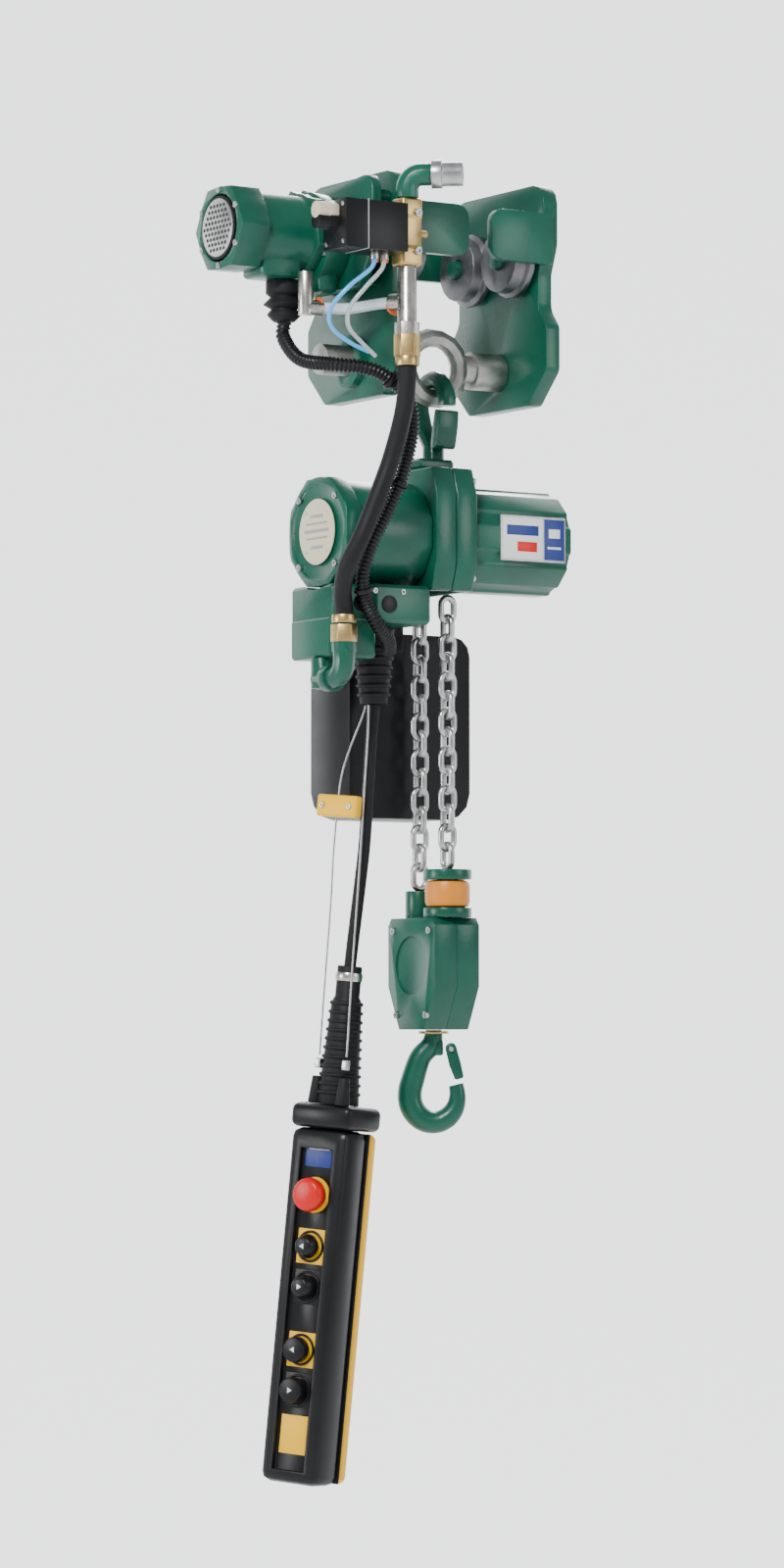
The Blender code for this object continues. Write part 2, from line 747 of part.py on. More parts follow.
def end_cover():
    """Left end casting with a shallow seat for its round plate, and the side valve block below."""
    obj = plate(
        "end_cover", GREEN, lobed(BODY_RADIUS, 0.003, 8, 0.4), COVER_LENGTH, (BODY_LEFT, 0, BODY_Z), ALONG_X
    )
    seat = rod(
        "end_cover_seat", None, BODY_RADIUS - 0.008, 0.010, (BODY_LEFT - 0.008, 0, BODY_Z), ALONG_X, sides=32
    )
    return cut(obj, seat)


def motor_casing():
    """Faceted air motor casing between the end cover and the middle castings."""
    start = BODY_LEFT + COVER_LENGTH + GAP
    length = SLAB_LEFT - GAP - start
    facets = circle(BODY_RADIUS - 0.001, 12, math.radians(15))
    return plate("motor_casing", GREEN, facets, length, (start, 0, BODY_Z), ALONG_X)


def slab(name, start):
    """One of the two middle castings, octagonal and taller than the casings beside it."""
    half = SLAB_HEIGHT / 2
    wide = BODY_RADIUS + 0.003
    outline = [
        (-wide, -half + 0.030), (-wide + 0.010, -half), (wide - 0.010, -half), (wide, -half + 0.030),
        (wide, half - 0.030), (wide - 0.010, half), (-wide + 0.010, half), (-wide, half - 0.030),
    ]
    obj = plate(name, GREEN, outline, SLAB_THICK, (start, 0, SLAB_Z), ALONG_X)
    pocket = plate(
        f"{name}_pocket", None,
        rounded([(-0.044, -0.08, 0), (0.044, -0.08, 0), (0.044, 0.020, 0.030), (-0.044, 0.020, 0.030)], 3),
        SLAB_THICK, (start + (0.006 if start < -0.02 else -0.006), 0, SLAB_Z), ALONG_X,
    )
    return cut(obj, pocket)


def scalloped(radius, steps=3):
    """Octagon with a shallow flute along each corner."""
    outline = []
    for corner in range(8):
        middle = math.radians(22.5 + 45 * corner)
        for spread, share in ((-0.16, 1.0), (-0.11, 0.955), (0.11, 0.955), (0.16, 1.0)):
            angle = middle + spread
            outline.append((radius * share * math.cos(angle), radius * share * math.sin(angle)))
    return outline


def gear_casing():
    """Right-hand casing over the planetary gears, fluted along its corners."""
    start = SLAB_RIGHT + GAP
    obj = plate(
        "gear_casing", GREEN, scalloped(GEARBOX_RADIUS + 0.003), GEARBOX_LENGTH, (start, 0, BODY_Z), ALONG_X
    )
    return obj


def control_valve_block():
    """Valve block under the motor casing: a long rear block with a stepped front block."""
    top = BODY_Z - BODY_RADIUS + 0.002
    front_left = BODY_LEFT + 0.039
    obj = box(
        "control_valve_block", GREEN, (0.050, 0.086, top - VALVE_BLOCK_BOTTOM),
        (BODY_LEFT - 0.004 + 0.025, FRONT_Y + 0.043, (top + VALVE_BLOCK_BOTTOM) / 2), bevel=0.004, segments=1,
    )
    front = box(
        "control_valve_front", None, (SLAB_LEFT - GAP - front_left, 0.100, top - VALVE_BLOCK_BOTTOM),
        ((SLAB_LEFT - GAP + front_left) / 2, FRONT_Y + 0.032, (top + VALVE_BLOCK_BOTTOM) / 2),
        bevel=0.004, segments=1,
    )
    lower = box(
        "control_valve_lower", None, (0.060, 0.082, VALVE_BLOCK_BOTTOM - LOWER_BLOCK_BOTTOM + 0.006),
        (BODY_LEFT - 0.006 + 0.030, FRONT_Y + 0.042, (VALVE_BLOCK_BOTTOM + LOWER_BLOCK_BOTTOM + 0.006) / 2),
        bevel=0.003, segments=1,
    )
    clearance = rod(
        "control_valve_saddle", None, BODY_RADIUS + 0.003 + GAP, 0.200, (BODY_LEFT - 0.020, 0, BODY_Z),
        ALONG_X, sides=32,
    )
    return cut(join(obj, front, lower), clearance)


SLAB_MIDDLE = (SLAB_LEFT + SLAB_RIGHT) / 2
TOP_HOOK_SECTION = 0.020
TOP_HOOK_RADIUS = 0.0275  # centre line of the bowl
TOP_HOOK_Z = BAR_Z - RING_RADIUS + RING_SECTION + 0.0006 - (TOP_HOOK_RADIUS - TOP_HOOK_SECTION / 2)
TOP_HOOK_FOOT = SLAB_Z + SLAB_HEIGHT / 2 + GAP


def bowl(radius, centre, start, end, steps):
    """Points of an arc in the YZ plane."""
    points = []
    for step in range(steps + 1):
        angle = math.radians(start + (end - start) * step / steps)
        points.append((0, radius * math.cos(angle), centre + radius * math.sin(angle)))
    return points


TOP_HOOK_LINE = (
    [(0, 0, TOP_HOOK_FOOT + 0.016), (0, 0.004, TOP_HOOK_Z - 0.045), (0, 0.020, TOP_HOOK_Z - 0.024)]
    + bowl(TOP_HOOK_RADIUS, TOP_HOOK_Z, -14, 188, 12)
)

def top_hook():
    """Suspension hook on the hoist body, its bowl hanging on the load bar's eye."""
    obj = to_mesh(tube("top_hook", GREEN, TOP_HOOK_LINE, TOP_HOOK_SECTION / 2, 3))
    obj.data.materials.append(GREEN)
    shank = rod("top_hook_shank", None, 0.012, 0.026, (0, 0, TOP_HOOK_FOOT + 0.002), sides=16)
    lug = box(
        "top_hook_lug", None, (0.046, 0.046, 0.012), (SLAB_MIDDLE, 0, TOP_HOOK_FOOT + 0.006), bevel=0.003,
        segments=1,
    )
    return join(obj, shank, lug)


end_cover()
motor_casing()
slab("middle_casting_left", SLAB_LEFT)
slab("middle_casting_right", SLAB_LEFT + SLAB_THICK + GAP)
gear_casing()
control_valve_block()
top_hook()


# ---------------------------------------------------------------- hoses on the hoist body
HOSE_RADIUS = 0.0100
CONDUIT_RADIUS = 0.0080
LOWER_X = BODY_LEFT + 0.001  # column of the lower air inlet
LOWER_Y = FRONT_Y - 0.0165
LOWER_TOP = -0.376


def lower_inlet_elbow():
    """Two elbows and a union that lead the air from the hose up into the valve block."""
    top = LOWER_TOP - 0.028
    bend = 0.017
    knots = [(LOWER_X, LOWER_Y, top), (LOWER_X, LOWER_Y, top - 0.012)]
    for step in range(1, 5):
        angle = math.radians(90 * step / 4)
        knots.append((
            LOWER_X, LOWER_Y + bend * (1 - math.cos(angle)), top - 0.012 - bend * math.sin(angle)
        ))
    knots.append((LOWER_X, LOWER_Y + 0.050, top - 0.012 - bend))
    obj = to_mesh(tube("lower_inlet_elbow", GREEN, knots, 0.0122, 3))
    obj.data.materials.append(GREEN)
    riser_y = LOWER_Y + 0.046
    riser_top = LOWER_BLOCK_BOTTOM - GAP
    riser_bottom = top - 0.012 - bend - 0.010
    riser = rod(
        "lower_inlet_riser", None, 0.0115, riser_top - riser_bottom, (LOWER_X, riser_y, riser_bottom), sides=14
    )
    union = rod(
        "lower_inlet_union", None, 0.0150, 0.012, (LOWER_X, LOWER_Y + 0.020, top - 0.012 - bend), ALONG_Y,
        sides=14,
    )
    tail = rod(
        "lower_inlet_tail", None, 0.0135, 0.030, (LOWER_X, LOWER_Y, LOWER_TOP - 0.030), sides=6
    )
    return join(obj, riser, union, tail)


# Chosen route of the main air hose, from the trolley's fitting to the lower one.
AIR_HOSE_ROUTE = [
    (-0.112, -0.121, -0.0924), (-0.112, -0.121, -0.112), (-0.114, -0.117, -0.150), (-0.122, -0.105, -0.200),
    (-0.138, -0.100, -0.245), (-0.154, -0.096, -0.285), (-0.163, -0.082, -0.316), (-0.156, -0.061, -0.340),
    (-0.149, -0.0525, -0.357), (-0.149, -0.0525, -0.3756),
]
# Chosen route of the corrugated control conduit, from the motor's bellows to the boot.
CONDUIT_ROUTE = [
    (-0.193, 0.000, -0.0470), (-0.193, 0.000, -0.0640), (-0.188, -0.026, -0.089), (-0.170, -0.062, -0.097),
    (-0.143, -0.082, -0.101), (-0.120, -0.091, -0.110), (-0.096, -0.096, -0.132), (-0.091, -0.098, -0.166),
    (-0.101, -0.094, -0.215), (-0.116, -0.088, -0.255), (-0.131, -0.080, -0.290), (-0.137, -0.071, -0.325),
    (-0.128, -0.064, -0.352), (-0.112, -0.062, -0.376), (-0.090, -0.048, -0.390), (-0.074, -0.026, -0.400),
]


def drive_bellows():
    """Rubber boot under the drive motor that the control conduit comes out of."""
    top = MOTOR_Z - MOTOR_RADIUS - 0.009 - GAP
    bottom = -0.046
    height = top - bottom
    profile = [
        (0, height), (0.020, height), (0.020, height - 0.014), (0.015, height - 0.018),
        (0.023, height - 0.026), (0.014, height - 0.031), (0.019, height - 0.037), (0.0115, 0.0), (0, 0),
    ]
    return turned("drive_bellows", BLACK_RUBBER, profile, (-0.193, 0, bottom), sides=20)


def pendant_boot():
    """Tapered rubber boot under the hoist that gathers the control conduit and the pendant hose."""
    profile = [(0, 0.082), (0.0225, 0.082), (0.0215, 0.064), (0.0150, 0.0), (0, 0)]
    return turned("pendant_boot", BLACK_RUBBER, profile, (BOOT_X, BOOT_Y, BOOT_BOTTOM), sides=20)


BOOT_X = -0.070
BOOT_Y = 0.012
BOOT_BOTTOM = VALVE_BLOCK_BOTTOM - 0.084 - GAP

lower_inlet_elbow()
drive_bellows()
pendant_boot()
tube("air_hose", BLACK_RUBBER, smooth_route(AIR_HOSE_ROUTE, 0.017), HOSE_RADIUS, 2)
tube("control_conduit", BLACK_PLASTIC, smooth_route(CONDUIT_ROUTE, 0.018), CONDUIT_RADIUS, 2)


# ---------------------------------------------------------------- chain and its wheels
FALL_Y = FALL_SPREAD / 2
LINK_SEAT = 0.0009  # how far each link is drawn in, so that threaded links meet


def chain_segment(name, y, first, count, start):
    """Welded links threaded through each other, every other one turned a quarter."""
    half_turns = ([], [])
    for index in range(count):
        z = start - LINK_PITCH * (first + index)
        reach = (LINK_PITCH + LINK_WIRE) / 2 - LINK_SEAT
        side = (LINK_WIDTH - LINK_WIRE) / 2
        outline = []
        for end in (1, -1):
            for step in range(5):
                angle = math.pi * step / 4 + (0 if end > 0 else math.pi)
                outline.append((side * math.cos(angle), side * math.sin(angle) + end * (reach - side)))
        flip = (first + index) % 2
        points = [(0, y + a, z + b) if flip else (a, y, z + b) for a, b in outline]
        link = tube(f"{name}_link_{index}", None, points, LINK_WIRE / 2, 0, cyclic=True)
        half_turns[flip].append(to_mesh(link))
    meshes = []
    for flip, links in enumerate(half_turns):
        bm = bmesh.new()
        for link in links:
            bm.from_mesh(link.data)
            bpy.data.objects.remove(link, do_unlink=True)
        mesh = bpy.data.meshes.new(f"{name}_{flip}")
        bm.to_mesh(mesh)
        bm.free()
        meshes.append(bpy.data.objects.new(name if flip == 0 else f"{name}_turned", mesh))
    keep(meshes[0], STEEL)
    keep(meshes[1], None)
    return join(meshes[0], meshes[1])


def chain_fall(name, y, start, links):
    """One fall of chain: the upper links stay with the hoist and the lower ones ride with the block."""
    upper = links - LINKS_RAISED
    chain_segment(f"{name}_upper", y, 0, upper, start)
    chain_segment(f"{name}_lower", y, upper, LINKS_RAISED, start + 2 * LINK_SEAT + GAP)


RIGHT_LINKS = 14
LEFT_LINKS = 15
chain_fall("chain_right", -FALL_Y, FALL_TOP, RIGHT_LINKS)
chain_fall("chain_left", FALL_Y, FALL_TOP, LEFT_LINKS)


def pocket_wheel(name, radius, width, bore, at, pockets):
    """Wheel for round-link chain: a waisted rim with a pocket for each flat link."""
    profile = [
        (radius + 0.006, width / 2), (radius + 0.006, 0.0055), (radius - 0.003, 0.0),
        (radius + 0.006, -0.0055),
        (radius + 0.006, -width / 2), (bore, -width / 2), (bore, width / 2),
    ]
    return turned(name, DARK_STEEL, profile, at, ALONG_X, sides=pockets * 3, closed=True)


def chain_wheel():
    """Driven chain wheel inside the middle castings."""
    return pocket_wheel(
        "chain_wheel", 0.0275, 0.030, 0.008, (SLAB_MIDDLE, 0, SLAB_Z - 0.030), 6
    )


chain_wheel()


# ---------------------------------------------------------------- chain container
def chain_container():
    """Open-topped plastic bin for the slack chain, hung from the middle castings."""
    depth, width, height = BIN_SIZE[0], BIN_SIZE[1] + 0.026, BIN_SIZE[2]
    wall = 0.004
    top = BIN_TOP
    middle = (BIN_X, BIN_Y + depth / 2, top - height / 2)
    outline = rounded([
        (-width / 2 - 0.003, -height / 2, 0.030), (width / 2, -height / 2, 0.030),
        (width / 2, height / 2, 0.022), (-width / 2 - 0.003, height / 2, 0.004),
    ], 3)
    stand = Matrix.Rotation(math.radians(90), 4, "X")
    obj = plate(
        "chain_container", BLACK_PLASTIC, outline, depth, (middle[0], BIN_Y + depth, middle[2]), stand
    )
    hollow = box(
        "chain_container_hollow", None,
        (width - 4 * wall, depth - 2 * wall, height),
        (middle[0], middle[1], middle[2] + 4 * wall), bevel=0.006, segments=1,
    )
    hanger = box(
        "chain_container_hanger", None, (0.022, 0.018, SLAB_BOTTOM - GAP - top + 0.020),
        (SLAB_MIDDLE - 0.010, BIN_Y + 0.005, (SLAB_BOTTOM - GAP + top - 0.020) / 2),
    )
    return join(cut(obj, hollow), hanger)


BIN_X = 0.004
BIN_Y = 0.051
BIN_TOP = -0.374

# ---------------------------------------------------------------- bottom block
BLOCK_Z = BLOCK_TOP - BLOCK_HEIGHT / 2
SHEAVE_Z = BLOCK_TOP - 0.052
SHEAVE_RADIUS = 0.0245


def block_half(name, side):
    """Half of the bottom block's casing: faceted outside, hollow over the sheave."""
    half = BLOCK_WIDTH / 2
    tall = BLOCK_HEIGHT / 2
    outline = [
        (-half + 0.006, tall), (-half, tall - 0.008), (-half, -0.014), (-half + 0.022, -tall),
        (half - 0.022, -tall), (half, -0.014), (half, tall - 0.008), (half - 0.006, tall),
    ]
    start = GAP / 2 if side > 0 else -BLOCK_THICK / 2
    obj = plate(
        name, GREEN, outline, BLOCK_THICK / 2 - GAP / 2, (start, 0, BLOCK_Z), ALONG_X
    )
    recess = rod(
        f"{name}_recess", None, 0.0325, 0.010, (side * (BLOCK_THICK / 2 - 0.003), 0, SHEAVE_Z),
        ALONG_X if side > 0 else Matrix.Rotation(math.pi, 4, "Z") @ ALONG_X, sides=24,
    )
    room = rod(
        f"{name}_room", None, SHEAVE_RADIUS + 0.0155, 0.034, (-0.017, 0, SHEAVE_Z), ALONG_X, sides=24
    )
    cut(obj, recess, room)
    for index, edge in enumerate((-1, 1)):
        mouth = rod(
            f"{name}_mouth_{index}", None, LINK_WIDTH / 2 + 0.0015, 0.060,
            (0, edge * FALL_Y, SHEAVE_Z - 0.002), sides=16,
        )
        cut(obj, mouth)
    axle_hole = rod(f"{name}_axle_hole", None, 0.0085 + GAP, 0.046, (-0.023, 0, SHEAVE_Z), ALONG_X, sides=16)
    neck = rod(
        f"{name}_neck", None, HOOK_NECK + GAP, 0.040, (0, 0, BLOCK_TOP - BLOCK_HEIGHT - 0.010), sides=20
    )
    nut_room = rod(
        f"{name}_nut_room", None, HOOK_NUT + 0.0015, 0.0135,
        (0, 0, BLOCK_TOP - BLOCK_HEIGHT + 0.0085), sides=20,
    )
    return cut(obj, axle_hole, neck, nut_room)


HOOK_NECK = 0.0115
HOOK_NUT = 0.0165


def idler_sheave():
    return pocket_wheel("idler_sheave", SHEAVE_RADIUS, 0.028, 0.0095, (0, 0, SHEAVE_Z), 5)


def sheave_axle():
    return rod("sheave_axle", STEEL, 0.0085, 0.045, (-0.0225, 0, SHEAVE_Z), ALONG_X, sides=16)


def chain_collar():
    """Steel collar that the left fall enters the block through."""
    outer, inner = 0.0158, LINK_WIDTH / 2 + 0.001
    profile = [(outer, 0.030), (outer, 0), (inner, 0), (inner, 0.030)]
    return turned(
        "chain_collar", GREEN, profile, (0, FALL_Y, BLOCK_TOP + GAP), sides=20, closed=True
    )


def buffer_stack():
    """Amber rubber buffer with its base disc on the right fall, under an enamelled disc."""
    base = BLOCK_TOP + GAP
    inner = LINK_WIDTH / 2 + 0.001
    disc = [(0.0265, 0.011), (0.0265, 0.001), (0.0255, 0), (inner, 0), (inner, 0.011)]
    bulge = [
        (0.0235, 0.041), (0.0252, 0.035), (0.0260, 0.026), (0.0252, 0.017), (0.0235, 0.0112), (0.0265, 0.011),
        (0.0265, 0), (inner, 0), (inner, 0.041),
    ]
    turned("buffer_rubber", BUFFER, bulge, (0, -FALL_Y, base), sides=20, closed=True)
    turned(
        "buffer_disc", GREEN, disc, (0, -FALL_Y, base + 0.041 + GAP), sides=20, closed=True
    )


chain_container()
block_half("block_half_left", -1)
block_half("block_half_right", 1)
idler_sheave()
sheave_axle()
chain_collar()
buffer_stack()


# ---------------------------------------------------------------- bottom hook
HOOK_TURN = Matrix.Rotation(math.radians(-33), 4, "Z")
HOOK_TOP = BLOCK_TOP - BLOCK_HEIGHT - GAP
HOOK_CENTRE = HOOK_TOP - 0.068


def load_hook():
    """Swivelling hook on a neck that runs up into the block, under a nut."""
    radius = HOOK_BORE + HOOK_SECTION / 2
    centre = HOOK_CENTRE - HOOK_TOP
    line = [(0, 0, -0.004), (0, 0, -0.016), (-0.012, 0, -0.032), (-0.024, 0, -0.044)]
    for step in range(11):
        angle = math.radians(158 + 200 * step / 10)
        line.append((radius * math.cos(angle), 0, centre + radius * math.sin(angle)))
    line.append((radius - 0.002, 0, centre + 0.010))
    obj = to_mesh(tube("load_hook", GREEN, line, HOOK_SECTION / 2 - 0.001, 2, (0, 0, HOOK_TOP), HOOK_TURN))
    obj.data.materials.append(GREEN)
    neck = rod("load_hook_neck", None, HOOK_NECK, 0.024, (0, 0, HOOK_TOP - 0.010), sides=16)
    nut = rod("load_hook_nut", None, HOOK_NUT, 0.009, (0, 0, HOOK_TOP + 0.0115), sides=16)
    return join(obj, neck, nut)


def latch(name, pivot, tip, width, turn):
    """Sprung safety latch: a pressed bar from its pivot to the hook's tip."""
    pivot, tip = Vector(pivot), Vector(tip)
    along = tip - pivot
    length = along.length
    place = Matrix.Translation(pivot) @ Matrix.Rotation(math.atan2(along.x, along.z), 4, "Y")
    outline = rounded([
        (-0.0060, -0.007, 0.005), (0.0060, -0.007, 0.005), (0.0070, length * 0.5, 0.010),
        (0.0050, length, 0.002), (-0.0050, length, 0.002), (-0.0060, length * 0.5, 0.010),
    ], 2)
    stand = turn @ place @ Matrix.Rotation(math.radians(90), 4, "X") @ Matrix.Translation((0, 0, -width / 2))
    return plate(name, GREEN, outline, width, (0, 0, 0), stand)


def load_hook_latch():
    pivot = (0.0195, 0, HOOK_TOP - 0.021)
    tip = (0.0285, 0, HOOK_TOP - 0.0535)
    return latch("load_hook_latch", pivot, tip, 0.026, HOOK_TURN)


load_hook()
load_hook_latch()


def top_hook_latch():
    """Pressed latch across the top hook's mouth."""
    turn = Matrix.Rotation(math.radians(-90), 4, "Z")
    pivot = (0.0200, 0, TOP_HOOK_Z - 0.044)
    tip = (0.0270, 0, TOP_HOOK_Z - 0.0088)
    return latch("top_hook_latch", pivot, tip, 0.026, turn)


# ---------------------------------------------------------------- pendant control
# The pendant hangs from the boot; its own frame has X across its face, Y into it, Z up.
LEAN_AXIS = Vector((0.545, 0.839, 0))
PENDANT_PIVOT = Vector((BOOT_X, BOOT_Y, BOOT_BOTTOM - 0.0016))
pendant_hang = empty(
    "pendant_hang", PENDANT_PIVOT,
    Matrix.Rotation(PENDANT_LEAN, 4, LEAN_AXIS) @ Matrix.Rotation(PENDANT_TURN, 4, "Z"),
)
HANG = pendant_hang.matrix_world.copy()
SLEEVE_TOP = -0.286  # below the boot, down the pendant's own Z
SLEEVE_LENGTH = 0.152
CAP_HEIGHT = 0.026
CAP_TOP = SLEEVE_TOP - SLEEVE_LENGTH - GAP
CASE_TOP = CAP_TOP - CAP_HEIGHT - GAP
CASE_BOTTOM = CASE_TOP - PENDANT_LENGTH
FRONT_DEPTH = 0.046
FACE_Y = -PENDANT_DEPTH / 2
RECESS_WIDTH = 2 * STOP_RADIUS + 0.0024
RECESS_DEPTH = 0.006
WIRE_RADIUS = 0.0011


def hanging(x, y, z):
    """Place of a point given in the pendant's own frame."""
    return HANG @ Vector((x, y, z))


def hang_box(name, finish, size, at, bevel=0.0, segments=1):
    return box(name, finish, size, (0, 0, 0), bevel, HANG @ Matrix.Translation(at), segments)


def hang_rod(name, finish, radius, length, at, facing=ALONG_Z, sides=20, top=None):
    return rod(name, finish, radius, length, (0, 0, 0), HANG @ Matrix.Translation(at) @ facing, sides, top)


OUTWARD = Matrix.Rotation(math.radians(90), 4, "X")  # carries local Z out of the pendant's face


def pendant_front():
    """Front shell of the pendant with a long recess that holds the buttons."""
    middle = (CASE_TOP + CASE_BOTTOM) / 2
    obj = hang_box(
        "pendant_front", BLACK_PLASTIC, (PENDANT_WIDTH, FRONT_DEPTH, PENDANT_LENGTH),
        (0, FACE_Y + FRONT_DEPTH / 2, middle), 0.010, 2,
    )
    recess = hang_box(
        "pendant_recess", None, (RECESS_WIDTH, 2 * RECESS_DEPTH, PENDANT_LENGTH - 0.036),
        (0, FACE_Y, middle - 0.004),
    )
    hollow = hang_box(
        "pendant_hollow", None, (PENDANT_WIDTH - 0.010, FRONT_DEPTH, PENDANT_LENGTH - 0.012),
        (0, FACE_Y + RECESS_DEPTH + 0.004 + FRONT_DEPTH / 2, middle),
    )
    cut(obj, recess, hollow)
    for index, (z, radius) in enumerate(BUTTON_ROWS):
        hole = hang_rod(
            f"pendant_hole_{index}", None, 0.0095 + GAP, 0.030, (0, FACE_Y + 0.020, z), OUTWARD, 16
        )
        cut(obj, hole)
    return obj


def pendant_rear():
    """Yellow rear cover that closes the front shell."""
    middle = (CASE_TOP + CASE_BOTTOM) / 2
    depth = PENDANT_DEPTH - FRONT_DEPTH
    obj = hang_box(
        "pendant_rear", YELLOW, (PENDANT_WIDTH - 0.002, depth, PENDANT_LENGTH - 0.004),
        (0, PENDANT_DEPTH / 2 - depth / 2 + GAP, middle), 0.005, 1,
    )
    return obj


def pendant_cap():
    return hang_box(
        "pendant_cap", BLACK_PLASTIC, (PENDANT_WIDTH + 0.004, PENDANT_DEPTH + 0.002, CAP_HEIGHT),
        (0, 0, CAP_TOP - CAP_HEIGHT / 2), 0.007, 2,
    )


def pendant_sleeve():
    """Ribbed rubber sleeve that grips the control hose above the cap."""
    length = SLEEVE_LENGTH
    inner = PENDANT_HOSE_RADIUS + GAP
    profile = [
        (0.0135, length), (0.0135, length * 0.78), (0.0165, length * 0.74), (0.0205, length * 0.26),
        (0.0235, 0.0), (inner, 0.0), (inner, length),
    ]
    return turned(
        "pendant_sleeve", BLACK_RUBBER, profile, (0, 0, 0), HANG @ Matrix.Translation((0, 0, CAP_TOP + GAP)),
        sides=20, closed=True,
    )


# Chosen route of the pendant hose in the pendant's own frame, from the boot into the sleeve.
PENDANT_HOSE_ROUTE = [
    (0.0, 0.0, 0.0), (0.0, 0.0, -0.020), (0.0005, 0.0005, -0.050), (0.0015, 0.0010, -0.085),
    (0.0025, 0.0015, -0.120), (0.0030, 0.0020, -0.155), (0.0025, 0.0015, -0.190), (0.0015, 0.0010, -0.225),
    (0.0005, 0.0005, -0.260), (0.0, 0.0, -0.290), (0.0, 0.0, -0.320), (0.0, 0.0, -0.350),
    (0.0, 0.0, -0.380), (0.0, 0.0, -0.410), (0.0, 0.0, -0.4370),
]
# Chosen routes of the two relief wires.
LEFT_WIRE_ROUTE = [
    (-0.0105, 0.0, -0.0004), (-0.0140, 0.0, -0.014), (-0.0250, 0.0, -0.045), (-0.0330, 0.0, -0.075),
    (-0.0350, 0.0, -0.105), (-0.0345, -0.001, -0.160), (-0.0300, -0.004, -0.220), (-0.0260, -0.008, -0.290),
    (-0.0235, -0.010, -0.350), (-0.0215, -0.0115, -0.385),
]
RIGHT_WIRE_ROUTE = [
    (0.0, -0.0105, -0.0004), (0.003, -0.0115, -0.030), (0.005, -0.0120, -0.080), (0.008, -0.013, -0.150),
    (0.012, -0.016, -0.220), (0.016, -0.020, -0.280), (0.0195, -0.0230, -0.330), (0.0215, -0.0235, -0.385),
]




def hose_clamp():
    """Clamp block that ties the relief wires to the hose under the chain container."""
    z = -0.113
    obj = hang_box("hose_clamp", YELLOW, (0.052, 0.014, 0.024), (-0.022, -0.0165, z), 0.002)
    return obj


BUTTON_TOP = CASE_TOP - 0.072
BUTTON_ROWS = [
    (BUTTON_TOP, STOP_RADIUS), (BUTTON_TOP - 0.056, BUTTON_RADIUS), (BUTTON_TOP - 0.100, BUTTON_RADIUS),
    (BUTTON_TOP - 0.168, BUTTON_RADIUS), (BUTTON_TOP - 0.212, BUTTON_RADIUS),
]
BUTTON_NAMES = ("stop_button", "lift_button", "lower_button", "travel_left_button", "travel_right_button")


def push_button(name, finish, z, radius, kind):
    """A push button on its stem, standing in its hole in the front shell."""
    floor = FACE_Y + RECESS_DEPTH
    stem = hang_rod(name, finish, 0.0095, 0.016, (0, floor + 0.008, z), OUTWARD, 16)
    if kind == "mushroom":
        head = hang_rod(
            f"{name}_head", None, radius, 0.016, (0, floor - 0.007, z), OUTWARD, 20, radius * 0.90
        )
    elif kind == "cone":
        head = hang_rod(
            f"{name}_head", None, radius, 0.012, (0, floor - 0.0055, z), OUTWARD, 16, radius * 0.5
        )
    else:
        head = hang_rod(f"{name}_head", None, radius * 0.92, 0.012, (0, floor - 0.0055, z), OUTWARD, 16)
    return join(stem, head)


def hanging_line(name, finish, route, radius, resolution):
    """A hose or a wire along a route given in the pendant's own frame."""
    points = smooth_route([tuple(hanging(*point)) for point in route], 0.022)
    return tube(name, finish, points, radius, resolution)


pendant_front()
pendant_rear()
pendant_cap()
pendant_sleeve()
top_hook_latch()
hanging_line("pendant_hose", BLACK_RUBBER, PENDANT_HOSE_ROUTE, PENDANT_HOSE_RADIUS, 2)
hanging_line("relief_wire_left", STEEL, LEFT_WIRE_ROUTE, WIRE_RADIUS, 1)
hanging_line("relief_wire_right", STEEL, RIGHT_WIRE_ROUTE, WIRE_RADIUS, 1)
hose_clamp()
for INDEX, (NAME, (Z, RADIUS)) in enumerate(zip(BUTTON_NAMES, BUTTON_ROWS)):
    KIND = "mushroom" if INDEX == 0 else "cone" if INDEX < 3 else "cylinder"
    push_button(NAME, RED if INDEX == 0 else BLACK_PLASTIC, Z, RADIUS, KIND)

PENDANT_PIECES = BUTTON_NAMES + (
    "pendant_hose", "relief_wire_left", "relief_wire_right", "hose_clamp",
    "pendant_sleeve", "pendant_cap", "pendant_front", "pendant_rear",
)
for NAME in PENDANT_PIECES:
    PIECE = bpy.data.objects[NAME]
    PIECE.parent = pendant_hang
    PIECE.matrix_parent_inverse = HANG.inverted()
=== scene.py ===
# %% [markdown]
# # Chain hoist
# An air-powered chain hoist hangs from a motor trolley, with a chain container and a pendant control.
# The imported CAD model is the frame: every piece here rides on one of its bodies, except the hoses and ties that
# join two of them, which ride on none.

# %% Load the frame
import json
import math

import bmesh
import bpy
from mathutils import Matrix, Vector


